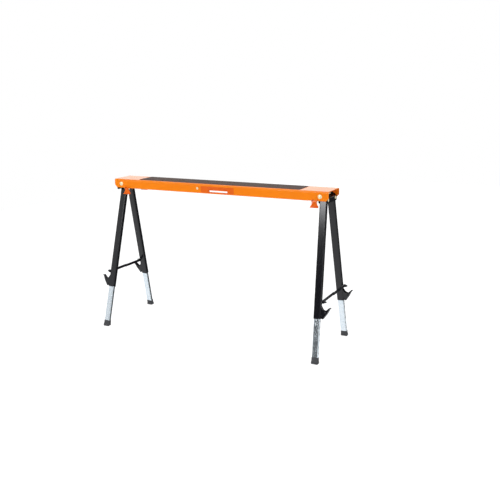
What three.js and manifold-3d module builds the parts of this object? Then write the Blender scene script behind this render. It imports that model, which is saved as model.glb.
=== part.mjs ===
// Folding sawhorse: a pressed-steel channel beam on two A-shaped leg pairs.
// Each pair swings under the beam on a cross bolt and closes as it goes, and every leg
// has a sliding extension with a sprung latch lever. Millimetres, +Z up, X along the
// beam, front at -Y, origin on the floor under the middle of the beam.
import * as THREE from 'three';
import { mergeVertices } from 'three/addons/utils/BufferGeometryUtils.js';
import Module from 'manifold-3d';

const wasm = await Module();
wasm.setup();

// ---------------------------------------------------------------- driving dimensions
const rad = THREE.MathUtils.degToRad;
const gap = 0.3;                       // clearance between pieces that touch
const roundSides = 16;                 // sides of a bolt, pin or hole

const beam = { length: 1000, width: 112, depth: 35, top: 645, sheet: 2, edgeRadius: 5,
  lip: 4.5, lipEnd: 415, chamfer: 11 };
const mat = { length: 756, width: 94, thick: 3, cornerRadius: 6 };
const handle = { middle: 18, length: 155, bottom: 611.5, top: 638.5, cornerRadius: 4,
  proud: 2.2, inside: 6, windowLength: 118, windowBottom: 613, windowTop: 635.5 };
const slot = { middle: 22, length: 88, bottom: 615, top: 622.5, cornerRadius: 3 };
const groove = { heights: [626.5, 630.5, 634.5], width: 1.6, depth: 1.2 };
const handleRivet = { x: -76, z: 628, shank: 2.5, headRadius: 5.6, headThick: 3.2,
  tailRadius: 4, tailThick: 1.4 };

const pivot = { x: 465, z: 626.5, shank: 5, headRadius: 10, headThick: 5.5, shankEnd: 11 };
const pivotNut = { across: 8.4, thick: 8.5, flangeRadius: 9.5, flangeThick: 2.5 };
const tilt = { left: rad(3), right: rad(1.9) };   // how far the legs lean out along the beam
const yoke = { thick: 3, top: 9, wallTop: -9.5, endBottom: -15, bottom: -28, halfWidth: 53.4 };
const hingePin = { outboard: 9, drop: 16, radius: 3.5, headRadius: 6, headThick: 2 };
const footSpread = 167;                // foot centre to the beam's middle plane
const legPin = { left: 19, right: 38.5 };   // the left pair nests between the right pair

const outerLeg = { depth: 27.5, width: 18, wall: 1.5, length: 452, plug: 24 };
const innerLeg = { depth: 23.7, width: 14.2, wall: 1.3, inside: 262, offFloor: 5,
  holeRadius: 3.6, holePitch: 25, firstHole: 34, lastHole: 12, holeSides: 6 };
const foot = { depth: 27.5, width: 20, height: 24, socket: 20, rimHeight: 9, rimWidth: 1 };
const legFace = outerLeg.depth / 2;    // middle of a leg to its outboard face
const legRoom = legFace + gap + 0.1;   // middle of a leg to the inside of its yoke

const latch = { axleOut: 19, axleUp: 26, axleRadius: 2, axleHead: 1.4, earGap: 5.6,
  earThick: 1.6, leverHalf: 5.2, leverWall: 1.2, noseUp: 8.5, noseRadius: 2.5,
  slotHalf: 3.2, slotBottom: 3, slotTop: 12.5 };
const spring = { radius: 3.2, wire: 0.55, turns: 4, length: 6.4 };

const brace = { pinUp: 66, deep: 12, thick: 3, lap: 9, nearEnd: 3, firstFace: 1,
  studRadius: 3.5, studEnd: 19, nutRadius: 6.5, nutThick: 6, spacerRadius: 5.5 };
const braceRivet = { radius: 3, headRadius: 5.5, headThick: 2.2 };
const support = { x: { left: 433, right: 444.5 }, plateWidth: 21, plateTop: 630,
  plateThick: 1.6, earThick: 2, earOut: 3, earDown: 3, earUp: 13, pinOut: 5.2, pinZ: 606,
  pinRadius: 2, pinHead: 1.4, barrel: 3.6, barrelHalf: 7.5, armTop: 600.5, armEnd: 584,
  armThick: 2.4, neckHalf: 10, flareHalf: 16.5, flareHeight: 9, lip: 7 };

// ---------------------------------------------------------------- materials
const finish = (color, roughness, metalness) =>
  new THREE.MeshStandardMaterial({ color, roughness, metalness });
const orangePaint = finish(0xf07818, 0.3, 0.1);
const redderPaint = finish(0xe8641c, 0.35, 0.1);
const blackPaint = finish(0x2a282b, 0.4, 0.2);
const galvanised = finish(0xb9c2c8, 0.35, 0.9);
const zinc = finish(0xd9cf9a, 0.3, 0.9);
const matRubber = finish(0x2b2524, 0.9, 0);
const footRubber = finish(0x2e2f30, 0.8, 0);

// ---------------------------------------------------------------- solid helpers
function toSolid(geometry) {
  const bare = geometry.clone();
  bare.deleteAttribute('normal');
  bare.deleteAttribute('uv');
  const merged = mergeVertices(bare, 1e-4);
  return new wasm.Manifold(new wasm.Mesh({
    numProp: 3,
    vertProperties: new Float32Array(merged.attributes.position.array),
    triVerts: new Uint32Array(merged.index.array),
  }));
}

function toGeometry(solid) {
  const mesh = solid.getMesh();
  const geometry = new THREE.BufferGeometry();
  geometry.setAttribute('position', new THREE.BufferAttribute(mesh.vertProperties.slice(), 3));
  geometry.setIndex(new THREE.BufferAttribute(mesh.triVerts.slice(), 1));
  geometry.computeVertexNormals();
  return geometry;
}

const join = (first, ...rest) => rest.reduce((all, next) => all.add(next), first);
const cut = (first, ...tools) => tools.reduce((left, tool) => left.subtract(tool), first);

function block([x0, x1], [y0, y1], [z0, z1]) {
  const geometry = new THREE.BoxGeometry(x1 - x0, y1 - y0, z1 - z0);
  return toSolid(geometry.translate((x0 + x1) / 2, (y0 + y1) / 2, (z0 + z1) / 2));
}

// A round bar along axis from one coordinate to another, centred at the given point.
function rod(axis, radius, from, to, centre = {}, sides = roundSides) {
  const geometry = new THREE.CylinderGeometry(radius, radius, to - from, sides);
  geometry.translate(0, (from + to) / 2, 0);
  if (axis === 'x') geometry.rotateZ(-Math.PI / 2);
  if (axis === 'z') geometry.rotateX(Math.PI / 2);
  const { x = 0, y = 0, z = 0 } = centre;
  return toSolid(geometry.translate(x, y, z));
}

const AXES = {   // where a drawn shape's two directions and its thickness go
  x: [[0, 1, 0], [0, 0, 1], [1, 0, 0]],     // drawn in (y, z)
  y: [[1, 0, 0], [0, 0, 1], [0, -1, 0]],    // drawn in (x, z)
  z: [[1, 0, 0], [0, 1, 0], [0, 0, 1]],     // drawn in (x, y)
};

// A drawn outline given thickness along axis, between two coordinates.
function plate(shape, axis, from, to, curveSegments = 6) {
  const options = { depth: to - from, bevelEnabled: false, curveSegments };
  const geometry = new THREE.ExtrudeGeometry(shape, options);
  geometry.translate(0, 0, axis === 'y' ? -to : from);
  const [a, b, c] = AXES[axis].map((v) => new THREE.Vector3(...v));
  return toSolid(geometry.applyMatrix4(new THREE.Matrix4().makeBasis(a, b, c)));
}

const spanAround = (middle, length) => [middle - length / 2, middle + length / 2];
const polygon = (points) => new THREE.Shape(points.map(([a, b]) => new THREE.Vector2(a, b)));

function roundedRectangle(a0, a1, b0, b1, radius) {
  const shape = new THREE.Shape();
  shape.absarc(a1 - radius, b0 + radius, radius, -Math.PI / 2, 0);
  shape.absarc(a1 - radius, b1 - radius, radius, 0, Math.PI / 2);
  shape.absarc(a0 + radius, b1 - radius, radius, Math.PI / 2, Math.PI);
  shape.absarc(a0 + radius, b0 + radius, radius, Math.PI, Math.PI * 1.5);
  return shape;
}

const horse = new THREE.Group();

function add(group, name, solid, material) {
  const mesh = new THREE.Mesh(toGeometry(solid), material);
  mesh.name = name;
  group.add(mesh);
  return mesh;
}

// ---------------------------------------------------------------- beam
// Channel section, open downwards, with rounded top edges and short turned-in lips.
function beamSection() {
  const { width, depth, top, sheet, edgeRadius: r, lip } = beam;
  const half = width / 2;
  const bottom = top - depth;
  const shape = new THREE.Shape();
  shape.moveTo(half - lip, bottom);
  shape.lineTo(half, bottom);
  shape.absarc(half - r, top - r, r, 0, Math.PI / 2);
  shape.absarc(r - half, top - r, r, Math.PI / 2, Math.PI);
  shape.lineTo(-half, bottom);
  shape.lineTo(lip - half, bottom);
  shape.lineTo(lip - half, bottom + sheet);
  shape.lineTo(sheet - half, bottom + sheet);
  shape.absarc(r - half, top - r, r - sheet, Math.PI, Math.PI / 2, true);
  shape.absarc(half - r, top - r, r - sheet, Math.PI / 2, 0, true);
  shape.lineTo(half - sheet, bottom + sheet);
  shape.lineTo(half - lip, bottom + sheet);
  return shape;
}

function makeBeam() {
  const { length, width, depth, top, sheet, lipEnd, chamfer } = beam;
  const bottom = top - depth;
  const inner = width / 2 - sheet;
  let solid = plate(beamSection(), 'x', -length / 2, length / 2);
  for (const side of [-1, 1]) {
    const end = (side * length) / 2;
    const corner = polygon([[end + side, bottom - 1], [end - side * chamfer, bottom - 1],
      [end - side * chamfer, bottom], [end, bottom + chamfer], [end + side, bottom + chamfer]]);
    const lipSpan = [side * lipEnd, side * (length / 2 + 1)].sort((a, b) => a - b);
    solid = cut(solid,
      plate(corner, 'y', -width, width),
      block(lipSpan, [-inner, inner], [bottom - 1, bottom + sheet + 1]),
      rod('y', pivot.shank + gap, -width, width, { x: side * pivot.x, z: pivot.z }));
  }
  const window = spanAround(handle.middle, handle.windowLength);
  return cut(solid,
    block(window, [-width, 1 - inner], [handle.windowBottom, handle.windowTop]),
    rod('y', handleRivet.shank + gap, -width, 0, handleRivet));
}
add(horse, 'beam', makeBeam(), orangePaint);

// Ribbed non-slip mat stuck on the web.
function makeMat() {
  const { length, width, thick, cornerRadius } = mat;
  const outline = roundedRectangle(-length / 2, length / 2, -width / 2, width / 2, cornerRadius);
  return plate(outline, 'z', beam.top + gap, beam.top + gap + thick, 3);
}
add(horse, 'anti_slip_mat', makeMat(), matRubber);

// Carry handle: a grip frame set in the front flange, with a finger slot right through
// and shallow grooves along the grip above it.
function makeHandle() {
  const { middle, length, bottom, top, proud, inside, windowLength } = handle;
  const face = -beam.width / 2;
  const front = face - gap - proud;
  const bezel = plate(
    roundedRectangle(...spanAround(middle, length), bottom, top, handle.cornerRadius),
    'y', front, face - gap);
  const body = block(
    spanAround(middle, windowLength - 2 * gap), [face - 2 * gap, face + inside],
    [handle.windowBottom + gap, handle.windowTop - gap]);
  const opening = plate(
    roundedRectangle(...spanAround(slot.middle, slot.length), slot.bottom, slot.top,
      slot.cornerRadius),
    'y', face - 10, face + 10);
  const grooves = groove.heights.map((z) => block(
    spanAround(slot.middle, slot.length), [front - 1, front + groove.depth],
    spanAround(z, groove.width)));
  return cut(join(bezel, body), opening, ...grooves);
}
add(horse, 'carry_handle', makeHandle(), redderPaint);

// A dome-headed rivet along Y: head outside the front flange, set head inside it.
function makeHandleRivet() {
  const { shank, headRadius: head, headThick, tailRadius, tailThick } = handleRivet;
  const tail = -beam.sheet - 2 * gap;
  const profile = [[0, headThick], [0.54 * head, 0.81 * headThick], [0.9 * head, 0.37 * headThick],
    [head, 0], [shank, 0], [shank, tail], [tailRadius, tail], [tailRadius, tail - tailThick],
    [0, tail - tailThick]].map(([r, z]) => new THREE.Vector2(r, z)).reverse();
  const geometry = new THREE.LatheGeometry(profile, roundSides);
  geometry.rotateX(Math.PI);
  return toSolid(geometry.translate(handleRivet.x, -beam.width / 2 - gap, handleRivet.z));
}
add(horse, 'handle_rivet', makeHandleRivet(), zinc);

// ---------------------------------------------------------------- board supports
// Each fold-out support is a hinge plate on the flange, a pin along X and a hanging arm.
// All its pieces are drawn about x = 0, and out() is a distance outwards from the flange.
function makeSupport(side, face) {
  const { pinOut, pinZ, pinRadius, armEnd, armThick, neckHalf, flareHalf } = support;
  const endName = side < 0 ? 'left' : 'right';
  const name = `${endName}_${face < 0 ? 'front' : 'rear'}_support`;
  const out = (d) => face * (beam.width / 2 + d);
  const span = (a, b) => [out(a), out(b)].sort((p, q) => p - q);
  const pinPlace = { y: out(pinOut), z: pinZ };
  const place = (piece, material, solid) => {
    add(horse, `${name}_${piece}`, solid, material).position.x = side * support.x[endName];
  };

  const half = support.plateWidth / 2;
  const back = block([-half, half], span(gap, gap + support.plateThick),
    [beam.top - beam.depth + 1, support.plateTop]);
  const ears = [[-half, support.earThick - half], [half - support.earThick, half]].map(
    (width) => block(width, span(gap, pinOut + support.earOut),
      [pinZ - support.earDown, pinZ + support.earUp]));
  const pinHole = rod('x', pinRadius + gap, -half - 1, half + 1, pinPlace, 12);
  place('plate', redderPaint, cut(join(back, ...ears), pinHole));

  const headEnd = half + gap + support.pinHead;
  place('pin', zinc, join(
    rod('x', pinRadius, -headEnd, headEnd, pinPlace, 12),
    rod('x', pinRadius + support.pinHead, -headEnd, -half - gap, pinPlace, 12),
    rod('x', pinRadius + support.pinHead, half + gap, headEnd, pinPlace, 12)));

  const shoulder = armEnd + support.flareHeight;
  const edge = [[support.barrelHalf, pinZ], [support.barrelHalf, support.armTop + 1.5],
    [neckHalf, support.armTop], [neckHalf, shoulder + 3], [flareHalf, shoulder - 3],
    [flareHalf, armEnd]];
  const mirrored = edge.map(([x, z]) => [-x, z]).reverse();
  const sheet = plate(polygon([...edge, ...mirrored]), 'y',
    ...span(pinOut - armThick / 2, pinOut + armThick / 2));
  const lip = block([-flareHalf, flareHalf], span(pinOut, pinOut + support.lip),
    [armEnd, armEnd + armThick]);
  const barrel = rod('x', support.barrel, -support.barrelHalf, support.barrelHalf, pinPlace, 12);
  place('arm', redderPaint, cut(join(sheet, lip, barrel), pinHole));
}
for (const side of [-1, 1]) for (const face of [-1, 1]) makeSupport(side, face);

// ---------------------------------------------------------------- leg pairs
// Cross bolt: button head in front, lock nut behind.
function makePivotBolt() {
  const half = beam.width / 2;
  const { shank, headRadius, headThick, shankEnd } = pivot;
  const seat = -half - gap;
  const profile = [[0, seat - headThick], [headRadius * 0.55, seat - headThick],
    [headRadius * 0.9, seat - headThick * 0.55], [headRadius, seat - headThick * 0.2],
    [headRadius, seat], [shank, seat], [shank, half + shankEnd], [0, half + shankEnd]];
  const points = profile.map(([r, y]) => new THREE.Vector2(r, y));
  return toSolid(new THREE.LatheGeometry(points, roundSides));
}

function makePivotNut() {
  const { across, thick, flangeRadius, flangeThick } = pivotNut;
  const seat = beam.width / 2;
  return cut(
    join(rod('y', across, seat + gap, seat + thick, {}, 6),
      rod('y', flangeRadius, seat + gap, seat + flangeThick)),
    rod('y', pivot.shank + gap, 0, seat + 2 * thick));
}

// Yoke: two long walls that carry the leg hinge pins, welded between two end ears that
// hang on the cross bolt. Drawn about the cross bolt, outboard is +X.
function makeYoke(pinY) {
  const { thick, top, wallTop, endBottom, bottom, halfWidth } = yoke;
  const middle = hingePin.outboard;
  const outer = legRoom + thick;
  const walls = [[middle - outer, middle - legRoom], [middle + legRoom, middle + outer]].map(
    (x) => block(x, [-halfWidth, halfWidth], [bottom, wallTop]));
  const earShape = new THREE.Shape();
  earShape.moveTo(middle - outer, endBottom);
  earShape.lineTo(middle + outer, endBottom);
  earShape.lineTo(middle + outer, wallTop);
  earShape.absarc(0, 0, top, Math.PI / 4, Math.PI);
  earShape.lineTo(middle - outer, wallTop);
  const ears = [[-halfWidth, thick - halfWidth], [halfWidth - thick, halfWidth]].map(
    (y) => plate(earShape, 'y', ...y));
  const boltHole = rod('y', pivot.shank + gap, -beam.width, beam.width);
  const pinHoles = [-1, 1].map((s) => rod('x', hingePin.radius + gap, middle - 2 * outer,
    middle + 2 * outer, { y: s * pinY, z: -hingePin.drop }));
  return cut(join(...walls, ...ears), boltHole, ...pinHoles);
}

function makeHingePin() {
  const reach = legRoom + yoke.thick + gap;
  const { radius, headRadius, headThick } = hingePin;
  return join(
    rod('x', radius, -reach - headThick, reach + headThick),
    rod('x', headRadius, -reach - headThick, -reach),
    rod('x', headRadius, reach, reach + headThick));
}

// Places on a leg's lower end: outwards from its outboard face, upwards from its end.
const end = -outerLeg.length;
const atEnd = (out, up) => [legFace + out, end + up];
const latchAxle = { x: legFace + latch.axleOut, z: end + latch.axleUp };

// Outer leg: a rectangular tube, closed and rounded at its hinge, with the latch ears and
// the brace stud on its outboard face. Drawn about its hinge pin, pointing down.
function makeOuterLeg() {
  const { depth, width, wall, plug } = outerLeg;
  const half = width / 2;
  const face = legFace;
  const side = new THREE.Shape();
  side.moveTo(-half, end);
  side.lineTo(half, end);
  side.absarc(0, 0, half, 0, Math.PI);
  const tube = cut(
    plate(side, 'x', -face, face),
    block([wall - face, face - wall], [wall - half, half - wall], [end - 1, -plug]),
    rod('x', hingePin.radius + gap, -depth, depth));
  const earShape = polygon([atEnd(-0.5, 12), atEnd(17, 18), atEnd(24, 24), atEnd(22, 31),
    atEnd(8, 37), atEnd(-0.5, 50)]);
  const { earGap, earThick, slotHalf } = latch;
  const ears = [-earGap - earThick, earGap].map((y) => plate(earShape, 'y', y, y + earThick));
  const axleHole = rod('y', latch.axleRadius + gap, -half, half, latchAxle, 12);
  const noseSlot = block([face - 2 * wall, face + 1], [-slotHalf, slotHalf],
    [end + latch.slotBottom, end + latch.slotTop]);
  const studHole = rod('x', brace.studRadius + gap, 0, face + 1, { z: end + brace.pinUp });
  return cut(join(tube, ...ears), axleHole, noseSlot, studHole);
}

// Inner leg: galvanised tube with a row of adjustment holes through its outboard and
// inboard faces. Its bottom stops inside the foot, a little above the floor.
function makeInnerLeg(reach) {
  const { depth, width, wall, inside, holeRadius, holePitch, firstHole, holeSides } = innerLeg;
  const top = inside - outerLeg.length;
  const bottom = innerLeg.offFloor - reach;
  const tube = cut(
    block([-depth / 2, depth / 2], [-width / 2, width / 2], [bottom, top]),
    block([wall - depth / 2, depth / 2 - wall], [wall - width / 2, width / 2 - wall],
      [bottom - 1, top + 1]));
  const holes = [];
  for (let z = bottom + firstHole; z < top - innerLeg.lastHole; z += holePitch) {
    holes.push(rod('x', holeRadius, -depth, depth, { z }, holeSides));
  }
  return cut(tube, ...holes);
}

// Foot: a moulded shoe over the inner leg's end, wider at the sole and cut level with
// the floor.
function makeFoot(reach, floor) {
  const { depth, width, height, socket, rimHeight, rimWidth } = foot;
  const sole = -reach;
  const under = sole - depth / 2;      // low enough for the slanted cut
  const slab = (x, y, z0, z1) => block([-x, x], [-y, y], [z0, z1]);
  const shoe = join(
    slab(depth / 2 - rimWidth, width / 2 - rimWidth, under, sole + height),
    slab(depth / 2, width / 2, under, sole + rimHeight));
  const pocket = slab(innerLeg.depth / 2 + gap, innerLeg.width / 2 + gap,
    sole + height - socket + gap, sole + height + 1);
  return cut(shoe, pocket, floor);
}

// Latch lever: a folded channel on the axle. Its upper end is the finger tab, and its
// lower end carries the nose that locks the inner leg.
function makeLever() {
  const { leverHalf: half, leverWall: wall, noseUp, noseRadius } = latch;
  const outline = polygon([atEnd(2.4, 3), atEnd(9, 1), atEnd(25.5, 24), atEnd(34, 41),
    atEnd(38.5, 46), atEnd(36.5, 48), atEnd(31, 43.5), atEnd(17, 31), atEnd(13, 24),
    atEnd(4.5, 13), atEnd(2.4, 13)]);
  const hollow = polygon([atEnd(5.5, 2), atEnd(7, 3.4), atEnd(23.8, 25), atEnd(32.5, 42),
    atEnd(28, 46), atEnd(8, 34), atEnd(4, 14)]);
  const folded = cut(plate(outline, 'y', -half, half),
    plate(hollow, 'y', wall - half, half - wall));
  const back = block([legFace + 2.4, legFace + 4], [-half, half], [end + 3, end + 13]);
  const nose = rod('x', noseRadius, legFace - outerLeg.wall + gap, legFace + 7,
    { z: end + noseUp }, 12);
  return cut(join(folded, back, nose),
    rod('y', latch.axleRadius + gap, -2 * half, 2 * half, latchAxle, 12));
}

function makeAxle() {
  const reach = latch.earGap + latch.earThick + gap;
  const { axleRadius, axleHead } = latch;
  return join(
    rod('y', axleRadius, -reach - 1, reach + 1, {}, 12),
    rod('y', axleRadius + axleHead, -reach - axleHead, -reach, {}, 12),
    rod('y', axleRadius + axleHead, reach, reach + axleHead, {}, 12));
}

// Torsion spring: a helix of wire wound round the latch axle.
class Helix extends THREE.Curve {
  getPoint(t, target = new THREE.Vector3()) {
    const turn = t * spring.turns * Math.PI * 2;
    return target.set(spring.radius * Math.cos(turn), (t - 0.5) * spring.length,
      spring.radius * Math.sin(turn));
  }
}

function makeSpring() {
  const wire = new THREE.Shape();
  wire.absarc(0, 0, spring.wire, 0, Math.PI * 2);
  const options = { steps: spring.turns * 9, curveSegments: 3, extrudePath: new Helix() };
  return toSolid(new THREE.ExtrudeGeometry(wire, options));
}

// The inboard face of a brace half. Of the two halves of a pair, layer 1 lies outside.
const braceFace = (layer) => brace.firstFace + layer * (brace.thick + gap);

// Brace half: a flat bar from its leg's stud to the middle of the pair, with round ends.
// Drawn about the stud, running towards +Y when direction is 1.
function makeBraceHalf(reach, direction, layer) {
  const near = braceFace(layer);
  const half = brace.deep / 2;
  const tip = direction * (reach + (brace.lap - half));
  const [y0, y1] = [-direction * brace.nearEnd, tip].sort((a, b) => a - b);
  const shape = new THREE.Shape();
  shape.absarc(y1, 0, half, -Math.PI / 2, Math.PI / 2);
  shape.absarc(y0, 0, half, Math.PI / 2, Math.PI * 1.5);
  return cut(plate(shape, 'x', near, near + brace.thick),
    rod('x', brace.studRadius + gap, 0, 2 * brace.studEnd),
    rod('x', braceRivet.radius + gap, 0, 2 * brace.studEnd, { y: direction * reach }));
}

// Brace stud: shank from the leg's wall through the bar, with a spacer and a lock nut.
function makeBraceStud(layer) {
  const nutSeat = braceFace(layer) + brace.thick + gap;
  return join(
    rod('x', brace.studRadius, gap - outerLeg.wall, brace.studEnd),
    rod('x', brace.nutRadius, nutSeat, nutSeat + brace.nutThick, {}, 6),
    rod('x', brace.spacerRadius, gap, braceFace(layer) - gap));
}

// Middle rivet, carried by the outer half. Its shank stops short of the inner half.
function makeBraceRivet(reach, direction) {
  const { radius, headRadius, headThick } = braceRivet;
  const headSeat = braceFace(1) + brace.thick + gap;
  const centre = { y: direction * reach };
  return join(
    rod('x', radius, braceFace(1), headSeat + headThick, centre),
    rod('x', headRadius, headSeat, headSeat + headThick, centre));
}

const world = new THREE.Matrix4();
function floorIn(group) {   // the space under the floor, in a leg's own frame
  horse.updateMatrixWorld(true);
  const under = new THREE.BoxGeometry(2000, 2000, 200).translate(0, 0, -100);
  under.applyMatrix4(world.copy(group.matrixWorld).invert());
  return toSolid(under);
}

function makeLeg(pair, side, endName, local) {
  const front = local * side < 0;      // the left end is turned half a turn
  const name = `${endName}_${front ? 'front' : 'rear'}`;
  const pinY = legPin[endName];
  const lean = tilt[endName];
  const pinHeight = pivot.z - hingePin.drop * Math.cos(lean) + hingePin.outboard * Math.sin(lean);
  const splay = Math.atan((footSpread - pinY) * Math.cos(lean) / pinHeight);
  const reach = pinHeight / (Math.cos(splay) * Math.cos(lean));   // hinge pin to floor
  const layer = local < 0 ? 0 : 1;

  const leg = new THREE.Group();
  leg.position.set(hingePin.outboard, local * pinY, -hingePin.drop);
  leg.rotation.x = local * splay;
  pair.add(leg);

  const pin = add(pair, `${name}_hinge_pin`, makeHingePin(), zinc);
  pin.position.copy(leg.position);
  add(leg, `${name}_outer_leg`, makeOuterLeg(), blackPaint);
  add(leg, `${name}_inner_leg`, makeInnerLeg(reach), galvanised);
  add(leg, `${name}_foot`, makeFoot(reach, floorIn(leg)), footRubber);
  add(leg, `${name}_latch_lever`, makeLever(), blackPaint);
  const axlePlace = [latchAxle.x, 0, latchAxle.z];
  add(leg, `${name}_latch_axle`, makeAxle(), blackPaint).position.set(...axlePlace);
  add(leg, `${name}_latch_spring`, makeSpring(), galvanised).position.set(...axlePlace);

  const studPlace = new THREE.Vector3(legFace, 0, end + brace.pinUp);
  add(leg, `${name}_brace_stud`, makeBraceStud(layer), blackPaint).position.copy(studPlace);
  const braceReach = pinY + (outerLeg.length - brace.pinUp) * Math.sin(splay);
  const level = new THREE.Group();     // takes the splay out again, so the bar lies level
  level.position.copy(studPlace);
  level.rotation.x = -local * splay;
  leg.add(level);
  add(level, `${name}_brace_half`, makeBraceHalf(braceReach, -local, layer), blackPaint);
  if (layer === 1) {
    add(level, `${endName}_brace_rivet`, makeBraceRivet(braceReach, -local), blackPaint);
  }
}

for (const [side, endName] of [[-1, 'left'], [1, 'right']]) {
  const bolt = add(horse, `${endName}_pivot_bolt`, makePivotBolt(), zinc);
  bolt.position.set(side * pivot.x, 0, pivot.z);
  const nut = add(horse, `${endName}_pivot_nut`, makePivotNut(), zinc);
  nut.position.copy(bolt.position);

  const pair = new THREE.Group();
  pair.rotation.order = 'ZYX';
  pair.position.copy(bolt.position);
  pair.rotation.set(0, -tilt[endName], side < 0 ? Math.PI : 0);
  horse.add(pair);
  add(pair, `${endName}_yoke`, makeYoke(legPin[endName]), blackPaint);
  for (const local of [-1, 1]) makeLeg(pair, side, endName, local);
}

export default horse;
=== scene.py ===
# Folding sawhorse: a pressed channel beam with a non-slip mat, on two leg pairs that fold
# under it. Each section below makes one piece or one group of like pieces, in the order in
# which the object is put together. Lengths are in metres, +Z is up, the front is at -Y.
from math import cos, pi, radians, sin

import bmesh
import bpy
import numpy as np
from mathutils import Matrix


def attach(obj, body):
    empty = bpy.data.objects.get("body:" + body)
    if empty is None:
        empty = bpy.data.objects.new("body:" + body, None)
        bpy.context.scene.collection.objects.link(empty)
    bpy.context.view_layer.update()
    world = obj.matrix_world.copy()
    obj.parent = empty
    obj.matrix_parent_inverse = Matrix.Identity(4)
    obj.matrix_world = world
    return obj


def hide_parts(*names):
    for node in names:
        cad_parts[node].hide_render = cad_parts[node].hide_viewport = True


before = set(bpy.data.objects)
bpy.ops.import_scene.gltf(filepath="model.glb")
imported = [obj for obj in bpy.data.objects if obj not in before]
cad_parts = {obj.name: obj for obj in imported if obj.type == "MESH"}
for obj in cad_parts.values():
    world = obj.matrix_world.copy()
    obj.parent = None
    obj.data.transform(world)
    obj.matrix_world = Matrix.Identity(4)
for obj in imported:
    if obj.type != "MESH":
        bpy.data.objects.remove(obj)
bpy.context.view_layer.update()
MM = 0.001


# ------------------------------------------------------------------ camera, floor and light
# A white studio: bright and dark walls, a big soft light overhead, a softbox at the front
# left and a white floor. The camera stands front right, above the beam, looking a little down.
CAMERA_PLACE = (1.4009, -2.4287, 1.0488)
CAMERA_HEADING, CAMERA_DIP, CAMERA_ROLL = 0.4805, 0.24157, -0.01525
CAMERA_LENS, CAMERA_SENSOR = 48.97, 36.0

# The room as seen from the object: bright panels, each a range of azimuth (0 is +Y, 90 is
# +X), a range of height over the horizon, in degrees, the width of its edge and its strength.
ROOM_GLOW, ROOM_TINT, BACKDROP_WHITE = 0.05, (0.97, 0.985, 1), (1, 1, 1)
PANELS = (
    ((-70, 22), (4, 45), 6, 1.6),          # backdrop
    ((-75, 27), (-45, -19), 3, 0.9),       # floor behind
    ((-175, -120), (-65, -25), 4, 0.95),   # floor in front
    ((-180, 180), (62, 100), 8, 0.9),      # ceiling
    ((-147, -126), (-5, 30), 3, 0.8),      # front left
    ((-172, -155), (12.5, 28), 2, 12.0),   # window at the front
    ((60, 112), (-45, 45), 8, 1.2),        # right wall
    ((-115, -82), (-45, 45), 5, 0.5),      # left wall
    ((128, 160), (-45, 45), 8, 0.8),       # front right
)

# The floor is a pale disc, lit from above and glowing a little, so it stays even.
FLOOR_RADIUS, FLOOR_BACK, FLOOR_SIDES, FLOOR_SINK = 3.2, 1.5, 64, 0.2 * MM
FLOOR_GREY, FLOOR_ROUGHNESS, FLOOR_GLOW = (0.30, 0.30, 0.30), 0.85, 0.82


def placement(origin, x_axis, y_axis, z_axis):
    """The 4 x 4 matrix of a frame with that origin and those three axes."""
    rows = np.stack([x_axis, y_axis, z_axis, origin], 1)
    return Matrix(np.vstack([rows, [0, 0, 0, 1]]).tolist())


def make_camera():
    """Looks along ahead, which is level for a dip of 0 and along +Y for a heading of 0."""
    ahead = np.array([-sin(CAMERA_HEADING) * cos(CAMERA_DIP),
                      cos(CAMERA_HEADING) * cos(CAMERA_DIP), -sin(CAMERA_DIP)])
    level = np.array([cos(CAMERA_HEADING), sin(CAMERA_HEADING), 0.0])
    right = cos(CAMERA_ROLL) * level + sin(CAMERA_ROLL) * np.cross(level, ahead)
    data = bpy.data.cameras.new("camera")
    data.sensor_width, data.lens = CAMERA_SENSOR, CAMERA_LENS
    camera = bpy.data.objects.new("camera", data)
    camera.matrix_world = placement(CAMERA_PLACE, right, np.cross(right, ahead), -ahead)
    bpy.context.scene.collection.objects.link(camera)
    bpy.context.scene.camera = camera


def area_light(name, place, aim, size, watts, mirrored=True):
    """A rectangular softbox at place that faces the point aim, seen in reflections or not."""
    data = bpy.data.lights.new(name, "AREA")
    data.shape = "RECTANGLE"
    data.size, data.size_y = size
    data.energy = watts
    back = np.subtract(place, aim) / np.linalg.norm(np.subtract(place, aim))
    steep = abs(back[2]) > 0.99
    side = np.cross((0.0, 1.0, 0.0) if steep else (0.0, 0.0, 1.0), back)
    side = side / np.linalg.norm(side)
    lamp = bpy.data.objects.new(name, data)
    lamp.matrix_world = placement(place, side, np.cross(back, side), back)
    lamp.visible_glossy = mirrored
    bpy.context.scene.collection.objects.link(lamp)


def wire(tree, value, socket):
    """Links value to a socket when it is a socket itself, and sets it there otherwise."""
    if isinstance(value, bpy.types.NodeSocket):
        tree.links.new(value, socket)
    elif isinstance(value, tuple):
        socket.default_value = (*value, 1)
    else:
        socket.default_value = value


def arithmetic(tree, operation, *values, clamp=False):
    """One sum in a node tree; each value is a number or a socket."""
    node = tree.nodes.new("ShaderNodeMath")
    node.operation, node.use_clamp = operation, clamp
    for socket, value in zip(node.inputs, values):
        wire(tree, value, socket)
    return node.outputs[0]


def window(tree, value, low, high, edge):
    """1 between low and high, falling off to 0 over edge on both sides."""
    above = arithmetic(tree, "SUBTRACT", value, low - edge)
    below = arithmetic(tree, "SUBTRACT", high + edge, value)
    rise = arithmetic(tree, "DIVIDE", above, edge, clamp=True)
    fall = arithmetic(tree, "DIVIDE", below, edge, clamp=True)
    return arithmetic(tree, "SMOOTH_MIN", rise, fall, 0.1)


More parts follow.
